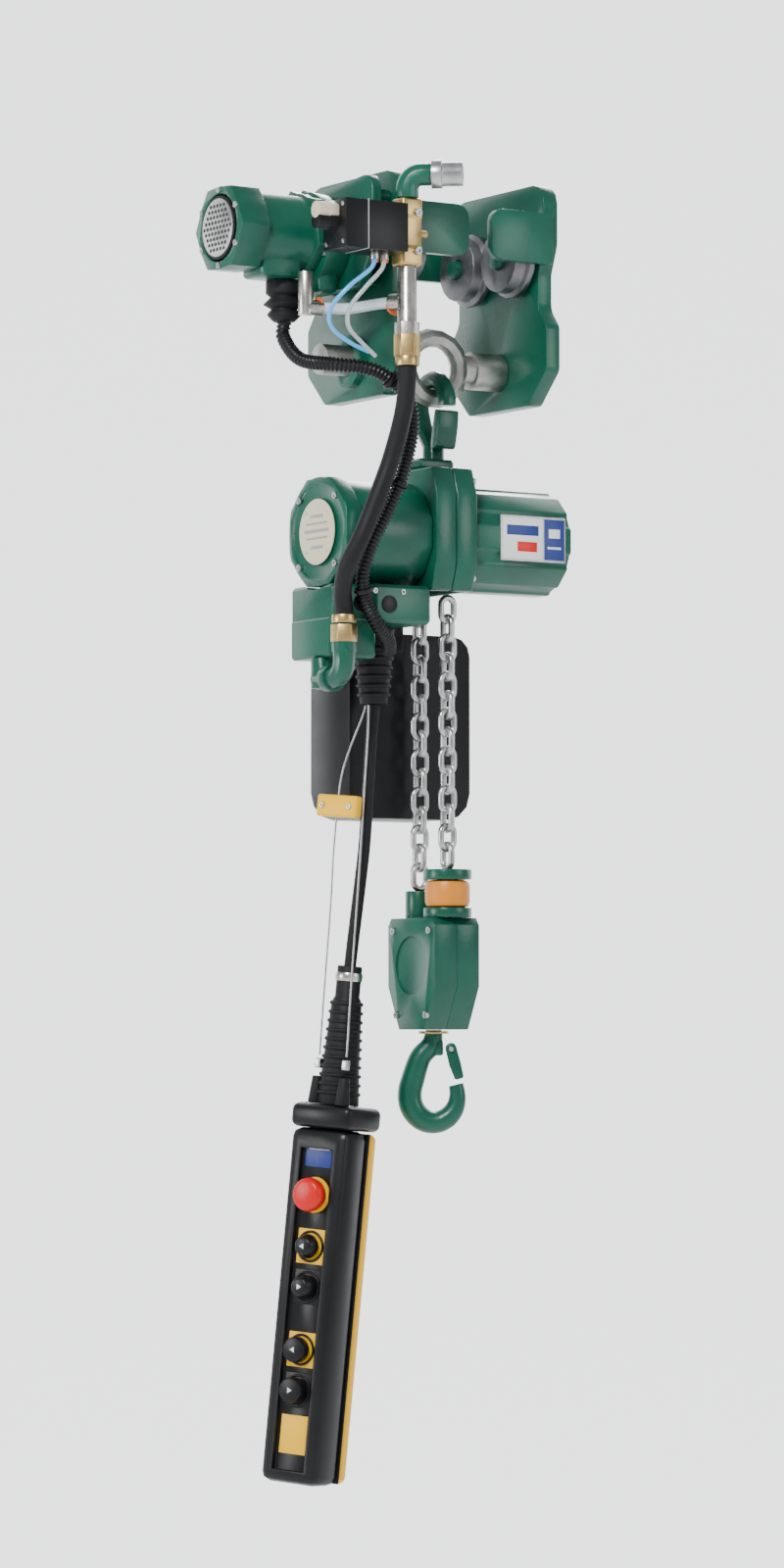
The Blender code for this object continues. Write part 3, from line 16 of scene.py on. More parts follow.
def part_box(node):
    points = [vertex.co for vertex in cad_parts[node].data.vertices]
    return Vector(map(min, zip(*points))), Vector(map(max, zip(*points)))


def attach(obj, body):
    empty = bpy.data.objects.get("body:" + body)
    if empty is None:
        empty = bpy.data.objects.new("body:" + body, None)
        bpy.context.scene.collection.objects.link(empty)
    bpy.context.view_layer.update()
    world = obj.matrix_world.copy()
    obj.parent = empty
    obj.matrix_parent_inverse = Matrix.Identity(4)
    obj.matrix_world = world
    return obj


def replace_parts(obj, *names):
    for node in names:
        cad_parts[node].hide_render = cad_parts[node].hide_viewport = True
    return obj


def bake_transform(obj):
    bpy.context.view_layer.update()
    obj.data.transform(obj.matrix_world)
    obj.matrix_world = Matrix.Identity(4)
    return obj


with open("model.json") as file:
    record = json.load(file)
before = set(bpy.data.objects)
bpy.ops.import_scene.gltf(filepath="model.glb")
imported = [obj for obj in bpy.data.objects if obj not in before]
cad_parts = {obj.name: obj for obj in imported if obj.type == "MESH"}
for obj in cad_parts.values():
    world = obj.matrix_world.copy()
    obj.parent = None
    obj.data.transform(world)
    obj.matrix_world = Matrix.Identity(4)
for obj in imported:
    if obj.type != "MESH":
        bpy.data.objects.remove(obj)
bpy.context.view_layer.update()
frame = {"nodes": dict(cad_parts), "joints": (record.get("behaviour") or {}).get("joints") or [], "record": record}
NODES = frame["nodes"]
BODY_OF = {
    node: body
    for body, members in frame["record"]["behaviour"]["bodies"].items()
    for node in members
}
SLOT_OF = {part["node"]: part["material_slot"] for part in frame["record"]["subparts"]}
JOINTS = {joint["name"]: joint for joint in frame["joints"]}

# %% [markdown]
# ## Shader arithmetic
# A finish that varies over a surface needs Math nodes between its textures and the shader.
# `Value` wraps a socket so that such maths reads like maths, and `Look` is one Principled material.

# %% Shader helpers


class Value:
    """A shader socket that takes part in arithmetic."""

    def __init__(self, look, socket):
        self.look = look
        self.socket = socket

    def maths(self, operation, first, second=0.0):
        return self.look.node("ShaderNodeMath", {0: first, 1: second}, operation=operation)

    def __add__(self, other):
        return self.maths("ADD", self, other)

    def __sub__(self, other):
        return self.maths("SUBTRACT", self, other)

    def __mul__(self, other):
        return self.maths("MULTIPLY", self, other)

    def __rsub__(self, other):
        return self.maths("SUBTRACT", other, self)

    __radd__ = __add__
    __rmul__ = __mul__


class Look:
    """A material with one Principled shader."""

    def __init__(self, name, colour, roughness, metallic=0.0, **constants):
        self.material = bpy.data.materials.new(name)
        self.material.use_nodes = True
        self.tree = self.material.node_tree
        self.shader = self.tree.nodes["Principled BSDF"]
        self.shader.inputs["Base Color"].default_value = (*colour, 1.0)
        self.shader.inputs["Roughness"].default_value = roughness
        self.shader.inputs["Metallic"].default_value = metallic
        for socket, value in constants.items():
            self.shader.inputs[socket.replace("_", " ")].default_value = value

    def node(self, kind, inputs=None, output=0, **settings):
        """Adds a node, links or sets its inputs and returns one of its outputs as a Value."""
        made = self.tree.nodes.new(kind)
        for key, value in settings.items():
            setattr(made, key, value)
        for key, value in (inputs or {}).items():
            if isinstance(value, Value):
                self.tree.links.new(value.socket, made.inputs[key])
            else:
                made.inputs[key].default_value = value
        return Value(self, made.outputs[output])

    def drive(self, socket, value):
        self.tree.links.new(value.socket, self.shader.inputs[socket])

    def place(self):
        return self.node("ShaderNodeTexCoord", output="Object")

    def noise(self, scale, detail=2.0):
        return self.node("ShaderNodeTexNoise", {"Vector": self.place(), "Scale": scale, "Detail": detail})

    def blend(self, amount, first, second):
        """Colour between two colours."""
        return self.node(
            "ShaderNodeMix", {0: amount, 6: (*first, 1.0), 7: (*second, 1.0)}, output=2,
            data_type="RGBA", clamp_factor=True,
        )

    def bumps(self, height, strength, distance=0.0004):
        self.drive("Normal", self.node(
            "ShaderNodeBump", {"Height": height, "Strength": strength, "Distance": distance},
        ))


print("helpers ready")

# %% [markdown]
# ## Finishes
# The castings wear a semi-gloss enamel with a fine orange peel; around it are bright and dark steel, plated
# fittings, brass, rubber, plastics and prints. Flat colours would look like toys, so each family varies its
# roughness by a slow noise and its surface by a fine one, and only the numbers differ from look to look.

# %% Materials


def enamel():
    look = Look(
        "green_enamel", (0.001, 0.112, 0.062), 0.30,
        Coat_Weight=0.10, Coat_Roughness=0.2, Specular_IOR_Level=0.42,
    )
    patches = look.noise(14.0, 4.0)
    look.drive("Base Color", look.blend((patches - 0.35) * 2.2, (0.0, 0.068, 0.040), (0.0003, 0.104, 0.061)))
    look.drive("Roughness", patches * 0.22 + 0.20)
    look.bumps(look.noise(420.0, 3.0) + look.noise(150.0) * 0.8, 0.35)
    return look


def metal(name, colour, roughness, grain, strength):
    look = Look(name, colour, roughness, 1.0)
    wear = look.noise(60.0, 5.0)
    darker = tuple(channel * 0.62 for channel in colour)
    look.drive("Base Color", look.blend((wear - 0.3) * 2.0, darker, colour))
    look.drive("Roughness", wear * 0.30 + (roughness - 0.12))
    look.bumps(look.noise(grain, 3.0), strength)
    return look


def moulded(name, colour, roughness, grain=900.0, strength=0.25, **constants):
    look = Look(name, colour, roughness, **constants)
    look.drive("Roughness", look.noise(35.0, 4.0) * 0.18 + (roughness - 0.09))
    look.bumps(look.noise(grain), strength, 0.0002)
    return look


LOOKS = {
    "green_enamel": enamel(),
    "bright_steel": metal("bright_steel", (0.66, 0.66, 0.65), 0.30, 500.0, 0.12),
    "dark_steel": metal("dark_steel", (0.24, 0.24, 0.25), 0.42, 400.0, 0.2),
    "nickel": metal("nickel", (0.72, 0.69, 0.63), 0.24, 600.0, 0.05),
    "brass": metal("brass", (0.72, 0.50, 0.20), 0.30, 500.0, 0.08),
    "black_plastic": moulded("black_plastic", (0.006, 0.006, 0.007), 0.36, Specular_IOR_Level=0.28),
    "black_rubber": moulded(
        "black_rubber", (0.009, 0.009, 0.010), 0.55, 1200.0, 0.4, Specular_IOR_Level=0.22,
    ),
    "milky_tube": moulded("milky_tube", (0.72, 0.78, 0.84), 0.28, Transmission_Weight=0.25),
    "amber_rubber": moulded("amber_rubber", (0.66, 0.22, 0.008), 0.42),
    "yellow_plastic": moulded("yellow_plastic", (0.92, 0.50, 0.0), 0.42, Specular_IOR_Level=0.3),
    "red_plastic": moulded("red_plastic", (0.62, 0.002, 0.002), 0.32, Specular_IOR_Level=0.35),
    "forged_steel": metal("forged_steel", (0.58, 0.57, 0.54), 0.42, 260.0, 0.8),
    "silver_disc": metal("silver_disc", (0.74, 0.74, 0.72), 0.38, 300.0, 0.1),
    "beige": moulded("beige", (0.62, 0.56, 0.40), 0.45),
    "orange": moulded("orange", (0.75, 0.14, 0.02), 0.40),
    "blue_tube": moulded("blue_tube", (0.08, 0.42, 0.85), 0.22),
    "clear_tube": moulded("clear_tube", (0.72, 0.76, 0.78), 0.18, Transmission_Weight=0.5),
    "print_blue": moulded("print_blue", (0.004, 0.025, 0.19), 0.38),
    "print_white": moulded("print_white", (0.78, 0.79, 0.78), 0.40),
    "grey_print": moulded("grey_print", (0.30, 0.30, 0.29), 0.45),
}
print(len(LOOKS), "finishes")

# %% [markdown]
# ## Castings
# The real parts are cast or moulded, so none of their edges is sharp. The CAD solids are loose triangles, so
# each is copied, its doubles and flat triangles are merged, and a bevel that is applied rounds what is left.
# A subdivision surface would round too, but it would also pull the flat faces out of shape.

# %% Round the CAD solids
SHARP = math.radians(32)
FLAT = math.radians(1.0)
SAME_POINT = 0.00002


def select_only(obj):
    bpy.ops.object.select_all(action="DESELECT")
    obj.select_set(True)
    bpy.context.view_layer.objects.active = obj


def finished(obj, look, body, angle=38, replaces=()):
    """Gives a piece its finish, smooth shading and the body that it rides on."""
    obj.data.materials.clear()
    obj.data.materials.append(LOOKS[look].material)
    select_only(obj)
    if obj.type == "MESH":
        bpy.ops.object.shade_smooth_by_angle(angle=math.radians(angle))
    if body:
        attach(obj, body)
    if replaces:
        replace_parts(obj, *replaces)
    return obj


def bevelled(obj, width, segments=2):
    """Applies a bevel to the sharp edges."""
    modifier = obj.modifiers.new("edges", "BEVEL")
    modifier.width = width
    modifier.segments = segments
    modifier.limit_method = "ANGLE"
    modifier.angle_limit = SHARP
    select_only(obj)
    bpy.ops.object.modifier_apply(modifier=modifier.name)
    return obj


def refine(name, width, look=None):
    """A CAD solid with merged faces and rounded edges."""
    mesh = NODES[name].data.copy()
    bm = bmesh.new()
    bm.from_mesh(mesh)
    bmesh.ops.remove_doubles(bm, verts=bm.verts, dist=SAME_POINT)
    bmesh.ops.dissolve_limit(bm, angle_limit=FLAT, verts=bm.verts, edges=bm.edges)
    bm.to_mesh(mesh)
    bm.free()
    obj = bpy.data.objects.new(f"{name}_fine", mesh)
    bpy.context.scene.collection.objects.link(obj)
    bevelled(obj, width)
    finished(obj, look or SLOT_OF[name], BODY_OF[name], 40, (name,))


EDGES = {
    "side_plate_left": 0.0025, "side_plate_right": 0.0025, "load_bar": 0.0012, "motor_bracket": 0.0015,
    "drive_gear_housing": 0.0014, "drive_motor_housing": 0.0016, "motor_end_flange": 0.0016,
    "main_valve_block": 0.0008, "valve_box": 0.0016, "inlet_elbow": 0.0012, "inlet_nipple": 0.0004,
    "tee_fitting": 0.0006, "swivel_elbow": 0.0006, "drive_bellows": 0.0008, "end_cover": 0.0022,
    "motor_casing": 0.0022, "middle_casting_left": 0.0022, "middle_casting_right": 0.0022,
    "gear_casing": 0.0022, "control_valve_block": 0.0018, "lower_inlet_elbow": 0.0012, "top_hook": 0.0015,
    "top_hook_latch": 0.0012, "chain_container": 0.0014, "pendant_boot": 0.0010, "block_half_left": 0.0026,
    "block_half_right": 0.0026, "chain_collar": 0.0010, "buffer_disc": 0.0008,
    "load_hook_latch": 0.0012, "hose_clamp": 0.0014, "pendant_sleeve": 0.0010, "pendant_cap": 0.0020,
    "pendant_front": 0.0022, "pendant_rear": 0.0024, "wheel_left_near": 0.0010, "wheel_left_far": 0.0010,
    "wheel_right_near": 0.0010, "wheel_right_far": 0.0010, "drive_pinion": 0.0005, "sheave_axle": 0.0006,
    "idler_sheave": 0.0006, "chain_wheel": 0.0006,
}
FORGED = {"load_bar": "forged_steel"}
for NAME, WIDTH in EDGES.items():
    refine(NAME, WIDTH, look=FORGED.get(NAME))
print(len(EDGES), "castings and mouldings rounded")

# %% [markdown]
# ## Pieces made here
# Discs, boxes, screws and rings start as primitives at the origin. They are shaped there, turned to a
# direction and moved inside their own mesh. Tubes are curves through their points. Either way the object
# itself stays at the origin, unscaled.

# %% Piece helpers


def bake(obj, at, facing=(0, 0, 1), spin=0.0):
    """Turns local Z to a direction, moves the piece there and leaves its object at the origin."""
    turn = Vector(facing).to_track_quat("Z", "Y").to_matrix().to_4x4()
    obj.data.transform(Matrix.Translation(at) @ turn @ Matrix.Rotation(spin, 4, "Z"))
    obj.matrix_world = Matrix.Identity(4)
    return obj


def disc(name, look, body, radius, depth, at, facing, sides=48, edge=0.0004, top=None, spin=0.0):
    """Round piece standing on a point; top is the radius of its far end."""
    bpy.ops.mesh.primitive_cone_add(
        vertices=sides, radius1=radius, radius2=radius if top is None else top, depth=depth,
    )
    obj = bpy.context.object
    obj.name = name
    obj.data.transform(Matrix.Translation((0, 0, depth / 2)))
    if edge:
        bevelled(obj, edge)
    return finished(bake(obj, at, facing, spin), look, body)


def rounded_box(name, size, edge):
    """Box at the origin with rounded edges."""
    bpy.ops.mesh.primitive_cube_add(size=1.0)
    obj = bpy.context.object
    obj.name = name
    obj.data.transform(Matrix.Diagonal((*size, 1.0)))
    return bevelled(obj, edge, 3)


def block(name, look, body, size, at, edge):
    """Upright box centred on a point."""
    finished(bake(rounded_box(name, size, edge), at), look, body)


def screw(name, body, radius, at, facing):
    """Socket screw: a rounded head with a hexagonal pocket, all in shares of its radius."""
    bpy.ops.mesh.primitive_cylinder_add(vertices=24, radius=radius, depth=radius * 0.9)
    obj = bpy.context.object
    obj.name = name
    bpy.ops.mesh.primitive_cylinder_add(vertices=6, radius=radius * 0.5, depth=radius)
    pocket = bpy.context.object
    pocket.location.z = radius * 0.55
    cut = obj.modifiers.new("pocket", "BOOLEAN")
    cut.operation = "DIFFERENCE"
    cut.object = pocket
    bpy.context.view_layer.objects.active = obj
    bpy.ops.object.modifier_apply(modifier=cut.name)
    bpy.data.objects.remove(pocket, do_unlink=True)
    bevelled(obj, radius * 0.08)
    finished(bake(obj, at, facing), "bright_steel", body)


def ring(name, look, body, radius, thickness, at, axis, sides=(48, 10), stretch=1.0):
    """Ring of round section about an axis; stretch along the axis makes it a band."""
    bpy.ops.mesh.primitive_torus_add(
        major_radius=radius, minor_radius=thickness, major_segments=sides[0], minor_segments=sides[1],
    )
    obj = bpy.context.object
    obj.name = name
    obj.data.transform(Matrix.Diagonal((1.0, 1.0, stretch, 1.0)))
    return finished(bake(obj, at, axis), look, body)


def smooth_route(knots, spacing, steps=40):
    """Points every so often along a smooth curve through the knots."""
    knots = [Vector(knot) for knot in knots]
    ends = [2 * knots[0] - knots[1]] + knots + [2 * knots[-1] - knots[-2]]
    fine = []
    for p0, p1, p2, p3 in zip(ends, ends[1:], ends[2:], ends[3:]):
        for step in range(steps):
            t = step / steps
            fine.append(0.5 * (
                2 * p1 + (p2 - p0) * t + (2 * p0 - 5 * p1 + 4 * p2 - p3) * t * t
                + (3 * p1 - p0 - 3 * p2 + p3) * t ** 3
            ))
    fine.append(knots[-1])
    length = sum((b - a).length for a, b in zip(fine, fine[1:]))
    count = max(2, round(length / spacing))
    route = [fine[0]]
    travelled = 0.0
    for a, b in zip(fine, fine[1:]):
        travelled += (b - a).length
        if travelled >= len(route) * length / count and len(route) < count:
            route.append(b)
    route.append(fine[-1])
    return route


def tube(name, look, body, points, radius, closed=False, resolution=4, radii=None):
    """Round tube along points; radii scales it point by point."""
    curve = bpy.data.curves.new(name, "CURVE")
    curve.dimensions = "3D"
    spline = curve.splines.new("POLY")
    spline.points.add(len(points) - 1)
    for index, (target, point) in enumerate(zip(spline.points, points)):
        target.co = (*point, 1)
        target.radius = radii[index] if radii else 1.0
    spline.use_cyclic_u = closed
    spline.use_smooth = True
    curve.bevel_depth = radius
    curve.bevel_resolution = resolution
    curve.use_fill_caps = not closed
    obj = bpy.data.objects.new(name, curve)
    bpy.context.scene.collection.objects.link(obj)
    return finished(obj, look, body)


def length_of(points):
    return sum((Vector(b) - Vector(a)).length for a, b in zip(points, points[1:]))


print("piece helpers ready")

# %% [markdown]
# ## Chain
# The load chain is of round welded links, each turned a quarter from the last. A link is a closed curve of
# two half circles with a round bevel. The lower eight of each fall ride with the bottom block.

# %% Links
LINK_WIRE = 0.007
LINK_PITCH = 0.021
LINK_WIDTH = 0.0235
LINK_SEAT = 0.0009
LINKS_RAISED = 8
FALL_TOP = -0.352
FALL_Y = 0.028


def link(name, body, y, z, turned):
    reach = (LINK_PITCH + LINK_WIRE) / 2 - LINK_SEAT
    side = (LINK_WIDTH - LINK_WIRE) / 2
    points = []
    for end in (1, -1):
        for step in range(13):
            angle = math.pi * step / 12 + (0 if end > 0 else math.pi)
            a = side * math.cos(angle)
            b = side * math.sin(angle) + end * (reach - side)
            points.append((0, y + a, z + b) if turned else (a, y, z + b))
    return tube(name, "bright_steel", body, points, LINK_WIRE / 2, closed=True, resolution=3)


for SIDE, Y, COUNT in (("right", -FALL_Y, 14), ("left", FALL_Y, 15)):
    for INDEX in range(COUNT):
        RAISED = INDEX >= COUNT - LINKS_RAISED
        LIFTED = 2 * LINK_SEAT + 0.0004 if RAISED else 0.0
        PIECE = link(
            f"chain_{SIDE}_link_{INDEX}", "block" if RAISED else "hoist", Y,
            FALL_TOP - LINK_PITCH * INDEX + LIFTED, INDEX % 2,
        )
        if INDEX == 0:
            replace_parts(PIECE, f"chain_{SIDE}_upper")
        if INDEX == COUNT - 1:
            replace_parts(PIECE, f"chain_{SIDE}_lower")
print("29 links")

# %% [markdown]
# ## Hoses and wires
# The supply hose and the ribbed conduit are held at both ends and keep listed routes. They join the
# trolley to the hoist that swings under it; each is one mesh that rides on neither body.
# The pendant hangs on its own hose and two thin steel wires.

# %% Hoses
AIR_HOSE_ROUTE = [
    (-0.112, -0.121, -0.0924), (-0.112, -0.121, -0.112), (-0.114, -0.117, -0.150), (-0.122, -0.105, -0.200),
    (-0.138, -0.100, -0.245), (-0.154, -0.096, -0.285), (-0.163, -0.082, -0.316), (-0.156, -0.061, -0.340),
    (-0.149, -0.0525, -0.357), (-0.149, -0.0525, -0.3756),
]
CONDUIT_ROUTE = [
    (-0.193, 0.000, -0.0470), (-0.193, 0.000, -0.0640), (-0.188, -0.026, -0.089), (-0.170, -0.062, -0.097),
    (-0.143, -0.082, -0.101), (-0.120, -0.091, -0.110), (-0.096, -0.096, -0.132), (-0.091, -0.098, -0.166),
    (-0.101, -0.094, -0.215), (-0.116, -0.088, -0.255), (-0.131, -0.080, -0.290), (-0.137, -0.071, -0.325),
    (-0.128, -0.064, -0.352), (-0.112, -0.062, -0.376), (-0.090, -0.048, -0.390), (-0.074, -0.026, -0.400),
]
AIR_HOSE_RADIUS = 0.0098
CONDUIT_RADIUS = 0.0080
RIB_PITCH = 0.0044


def spanning(obj):
    """Turns a piece that joins the trolley and the hoist into a mesh with its place baked in."""
    select_only(obj)
    if obj.type == "CURVE":
        bpy.ops.object.convert(target="MESH")
        obj = bpy.context.object
    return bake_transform(obj)


HOSE = tube(
    "air_hose_fine", "black_rubber", None, smooth_route(AIR_HOSE_ROUTE, 0.006), AIR_HOSE_RADIUS, resolution=8,
)
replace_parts(spanning(HOSE), "air_hose")
RIBBED = smooth_route(CONDUIT_ROUTE, RIB_PITCH / 4, 400)
CONDUIT = tube(
    "control_conduit_fine", "black_plastic", None, RIBBED, CONDUIT_RADIUS, resolution=6,
    radii=[1.0 if index % 4 < 2 else 0.80 for index in range(len(RIBBED))],
)
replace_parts(spanning(CONDUIT), "control_conduit")

PENDANT_PIVOT = Vector(JOINTS["pendant_swing"]["pos_m"])
PENDANT_LEAN = math.radians(5.2)
PENDANT_TURN = math.radians(-65)
LEAN_AXIS = Vector((0.545, 0.839, 0))
LEAN = Matrix.Rotation(PENDANT_LEAN, 4, LEAN_AXIS)
HANG = Matrix.Translation(PENDANT_PIVOT) @ LEAN @ Matrix.Rotation(PENDANT_TURN, 4, "Z")
PENDANT_HOSE_ROUTE = [
    (0.0, 0.0, 0.0), (0.0, 0.0, -0.020), (0.0005, 0.0005, -0.050), (0.0015, 0.0010, -0.085),
    (0.0025, 0.0015, -0.120), (0.0030, 0.0020, -0.155), (0.0025, 0.0015, -0.190), (0.0015, 0.0010, -0.225),
    (0.0005, 0.0005, -0.260), (0.0, 0.0, -0.290), (0.0, 0.0, -0.320), (0.0, 0.0, -0.350),
    (0.0, 0.0, -0.380), (0.0, 0.0, -0.410), (0.0, 0.0, -0.4370),
]
LEFT_WIRE_ROUTE = [
    (-0.0105, 0.0, -0.0004), (-0.0140, 0.0, -0.014), (-0.0250, 0.0, -0.045), (-0.0330, 0.0, -0.075),
    (-0.0350, 0.0, -0.105), (-0.0345, -0.001, -0.160), (-0.0300, -0.004, -0.220), (-0.0260, -0.008, -0.290),
    (-0.0235, -0.010, -0.350), (-0.0215, -0.0115, -0.385),
]
RIGHT_WIRE_ROUTE = [
    (0.0, -0.0105, -0.0004), (0.003, -0.0115, -0.030), (0.005, -0.0120, -0.080), (0.008, -0.013, -0.150),
    (0.012, -0.016, -0.220), (0.016, -0.020, -0.280), (0.0195, -0.0230, -0.330), (0.0215, -0.0235, -0.385),
]


def hung(point):
    """World place of a point given in the pendant's own frame."""
    return HANG @ Vector(point)


def facing(direction):
    return HANG.to_3x3() @ Vector(direction)


def free_line(name, look, route, radius):
    points = smooth_route([hung(point) for point in route], 0.006)
    obj = tube(f"{name}_fine", look, "pendant", points, radius, resolution=5)
    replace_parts(obj, name)


free_line("pendant_hose", "black_rubber", PENDANT_HOSE_ROUTE, 0.0068)
free_line("relief_wire_left", "bright_steel", LEFT_WIRE_ROUTE, 0.0011)
free_line("relief_wire_right", "bright_steel", RIGHT_WIRE_ROUTE, 0.0011)


TIES = ((0.32, 0.0097), (0.56, 0.0087), (0.80, 0.0087))
for INDEX, (SHARE, RADIUS) in enumerate(TIES):
    SPOT = int(SHARE * (len(RIBBED) - 1))
    ALONG = RIBBED[SPOT + 1] - RIBBED[SPOT - 1]
    TIE_NAME = f"conduit_tie_{INDEX}"
    spanning(ring(TIE_NAME, "black_plastic", None, RADIUS, 0.0014, RIBBED[SPOT], ALONG, (40, 8), 2.0))
print("hoses", round(length_of(RIBBED), 3), "m of conduit")

# %% [markdown]
# ## Trolley details
# The holes are painted shade: dark spots laid on the disc read the same as shaded real holes at this size, and
# cost far fewer faces.
# Holes laid on the disc as dark spots read the same as real holes at this size, and cost far fewer faces.

# %% Motor end
LEFT = Vector((-1, 0, 0))
FRONT = Vector((0, -1, 0))
UP = Vector((0, 0, 1))
DOWN = Vector((0, 0, -1))
MOTOR_Z = 0.050
FACE_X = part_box("motor_end_flange")[0].x
GEAR_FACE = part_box("drive_gear_housing")[0].x


def ring_of(name, count, radius, screw_radius, centre, body, start):
    """Screws evenly round a circle that faces left."""
    for index in range(count):
        angle = start + 2 * math.pi * index / count
        spot = Vector(centre) + Vector((0, radius * math.cos(angle), radius * math.sin(angle)))
        screw(f"{name}_{index}", body, screw_radius, spot, LEFT)


OUTLET_RADIUS = 0.0315
HOLE_PITCH = 0.0068
RIM_AT = (FACE_X + 0.0006, 0, MOTOR_Z)
disc("outlet_rim", "black_rubber", "trolley", OUTLET_RADIUS + 0.003, 0.0016, RIM_AT, LEFT, edge=0.0006)
disc("outlet_disc", "silver_disc", "trolley", OUTLET_RADIUS, 0.0012, (FACE_X - 0.0008, 0, MOTOR_Z), LEFT)
# Painted shade: each hole is a black spot laid on the silver disc where a real hole would be dark inside.
for ROW in range(-4, 5):
    for COLUMN in range(-5, 6):
        SPOT = Vector((0, (COLUMN + 0.5 * (ROW % 2)) * HOLE_PITCH, ROW * HOLE_PITCH * 0.866))
        if SPOT.length < OUTLET_RADIUS - 0.0025:
            disc(
                f"outlet_hole_shade_{ROW + 4}_{COLUMN + 5}", "black_plastic", "trolley", 0.0021, 0.0004,
                SPOT + Vector((FACE_X - 0.0018, 0, MOTOR_Z)), LEFT, 16, 0,
            )
ring_of("outlet_screw", 6, 0.0410, 0.0034, (FACE_X - 0.0002, 0, MOTOR_Z), "trolley", math.radians(30))
ring_of("gear_ring_screw", 6, 0.0465, 0.0036, (GEAR_FACE - 0.0012, 0, MOTOR_Z), "trolley", math.radians(30))
print("outlet disc and motor screws made")

# %% [markdown]
# ## Valve group
# A two-part box with a test plug, brass blocks with plated screws, and push-in fittings with orange collars.
# Screws, hexagons and collars are the same two helpers again, with other sizes and finishes.

# %% Valve box and fittings
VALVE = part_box("valve_box")
for INDEX, (Y, Z) in enumerate(((-0.138, 0.024), (-0.104, 0.024), (-0.138, 0.064), (-0.104, 0.064))):
    screw(f"valve_box_screw_{INDEX}", "trolley", 0.0026, (VALVE[0].x + 0.0238, Y, Z), LEFT)
PLUG = Vector((VALVE[0].x + 0.024, (VALVE[0].y + VALVE[1].y) / 2, VALVE[0].z + 0.040))
disc("valve_plug_hex", "beige", "trolley", 0.0110, 0.0115, PLUG, LEFT, 6, 0.0008)
disc("valve_plug_head", "beige", "trolley", 0.0090, 0.0245, PLUG, LEFT, 40, 0.0008)
block(
    "valve_box_joint", "silver_disc", "trolley", (0.0012, VALVE[1].y - VALVE[0].y + 0.0010, 0.0530),
    (VALVE[0].x + 0.052, (VALVE[0].y + VALVE[1].y) / 2, (VALVE[0].z + VALVE[1].z) / 2), edge=0.0003,
)
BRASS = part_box("main_valve_block")
for Z in (BRASS[0].z + 0.016, BRASS[1].z - 0.016):
    screw(f"brass_block_screw_{round(Z * 1000)}", "trolley", 0.0045, (-0.1065, BRASS[0].y - 0.0016, Z), FRONT)
disc("tee_collar", "orange", "trolley", 0.0118, 0.0032, (-0.1119, -0.0992, -0.0325), (0, 1, 0), 40)
disc("swivel_collar", "orange", "trolley", 0.0100, 0.0030, (-0.1740, -0.0425, -0.0325), (-1, 0, 0), 40)
HEX_RADIUS = 0.0146
FERRULE_RADIUS = 0.0132
disc("hose_hex_top", "brass", "trolley", HEX_RADIUS, 0.0240, (-0.112, -0.121, -0.0915), UP, 6, 0.0008)
disc("hose_ring_top", "brass", "trolley", FERRULE_RADIUS, 0.0100, (-0.112, -0.121, -0.1015), UP)
disc("hose_hex_bottom", "brass", "hoist", HEX_RADIUS, 0.0190, (-0.149, -0.0525, -0.3955), UP, 6, 0.0008)
disc("hose_ring_bottom", "brass", "hoist", FERRULE_RADIUS, 0.0090, (-0.149, -0.0525, -0.3750), UP)
print("valve group dressed")

# %% [markdown]
# ## Pilot tubes
# Two thin air lines, one blue and one clear, loop from the valve box down towards the conduit.
# Each is a smooth curve through a few points, with the curve's own bevel as the wall.

# %% Pilot tubes
PILOT_LINES = {
    "pilot_tube_blue": ("blue_tube", [
        (-0.158, -0.128, 0.018), (-0.164, -0.133, 0.000), (-0.190, -0.129, -0.022), (-0.205, -0.116, -0.045),
        (-0.198, -0.106, -0.064), (-0.172, -0.101, -0.078), (-0.146, -0.0975, -0.086),
    ]),
    "pilot_tube_clear": ("clear_tube", [
        (-0.146, -0.128, 0.018), (-0.151, -0.133, 0.000), (-0.168, -0.129, -0.020), (-0.183, -0.119, -0.043),
        (-0.178, -0.108, -0.062), (-0.158, -0.102, -0.077), (-0.138, -0.0985, -0.090),
    ]),
}
for X in (-0.158, -0.146):
    PLACE = round(-X * 1000)
    disc(f"pilot_fitting_{PLACE}", "nickel", "trolley", 0.0046, 0.0090, (X, -0.1285, 0.0180), DOWN, 32)
    disc(f"pilot_collar_{PLACE}", "orange", "trolley", 0.0040, 0.0030, (X, -0.1290, 0.0090), DOWN, 32)
for NAME, (LOOK, KNOTS) in PILOT_LINES.items():
    tube(NAME, LOOK, "trolley", smooth_route(KNOTS, 0.004), 0.0024, resolution=4)

AXLE_Y = 0.042
AXLE_Z = 0.036
for END in (-1, 1):
    CAP_AT = (0.1138, END * AXLE_Y, AXLE_Z)
    disc(f"axle_cap_{END}", "dark_steel", "trolley", 0.012, 0.003, CAP_AT, (1, 0, 0), 32)
print("trolley dressed")

# %% [markdown]
# ## Hoist body details
# A round rating plate is riveted to the end cover, and a label of plain fields is fixed to the gear casing.
# Each field is a thin box that stands a little prouder than the one under it, so no two faces fight.

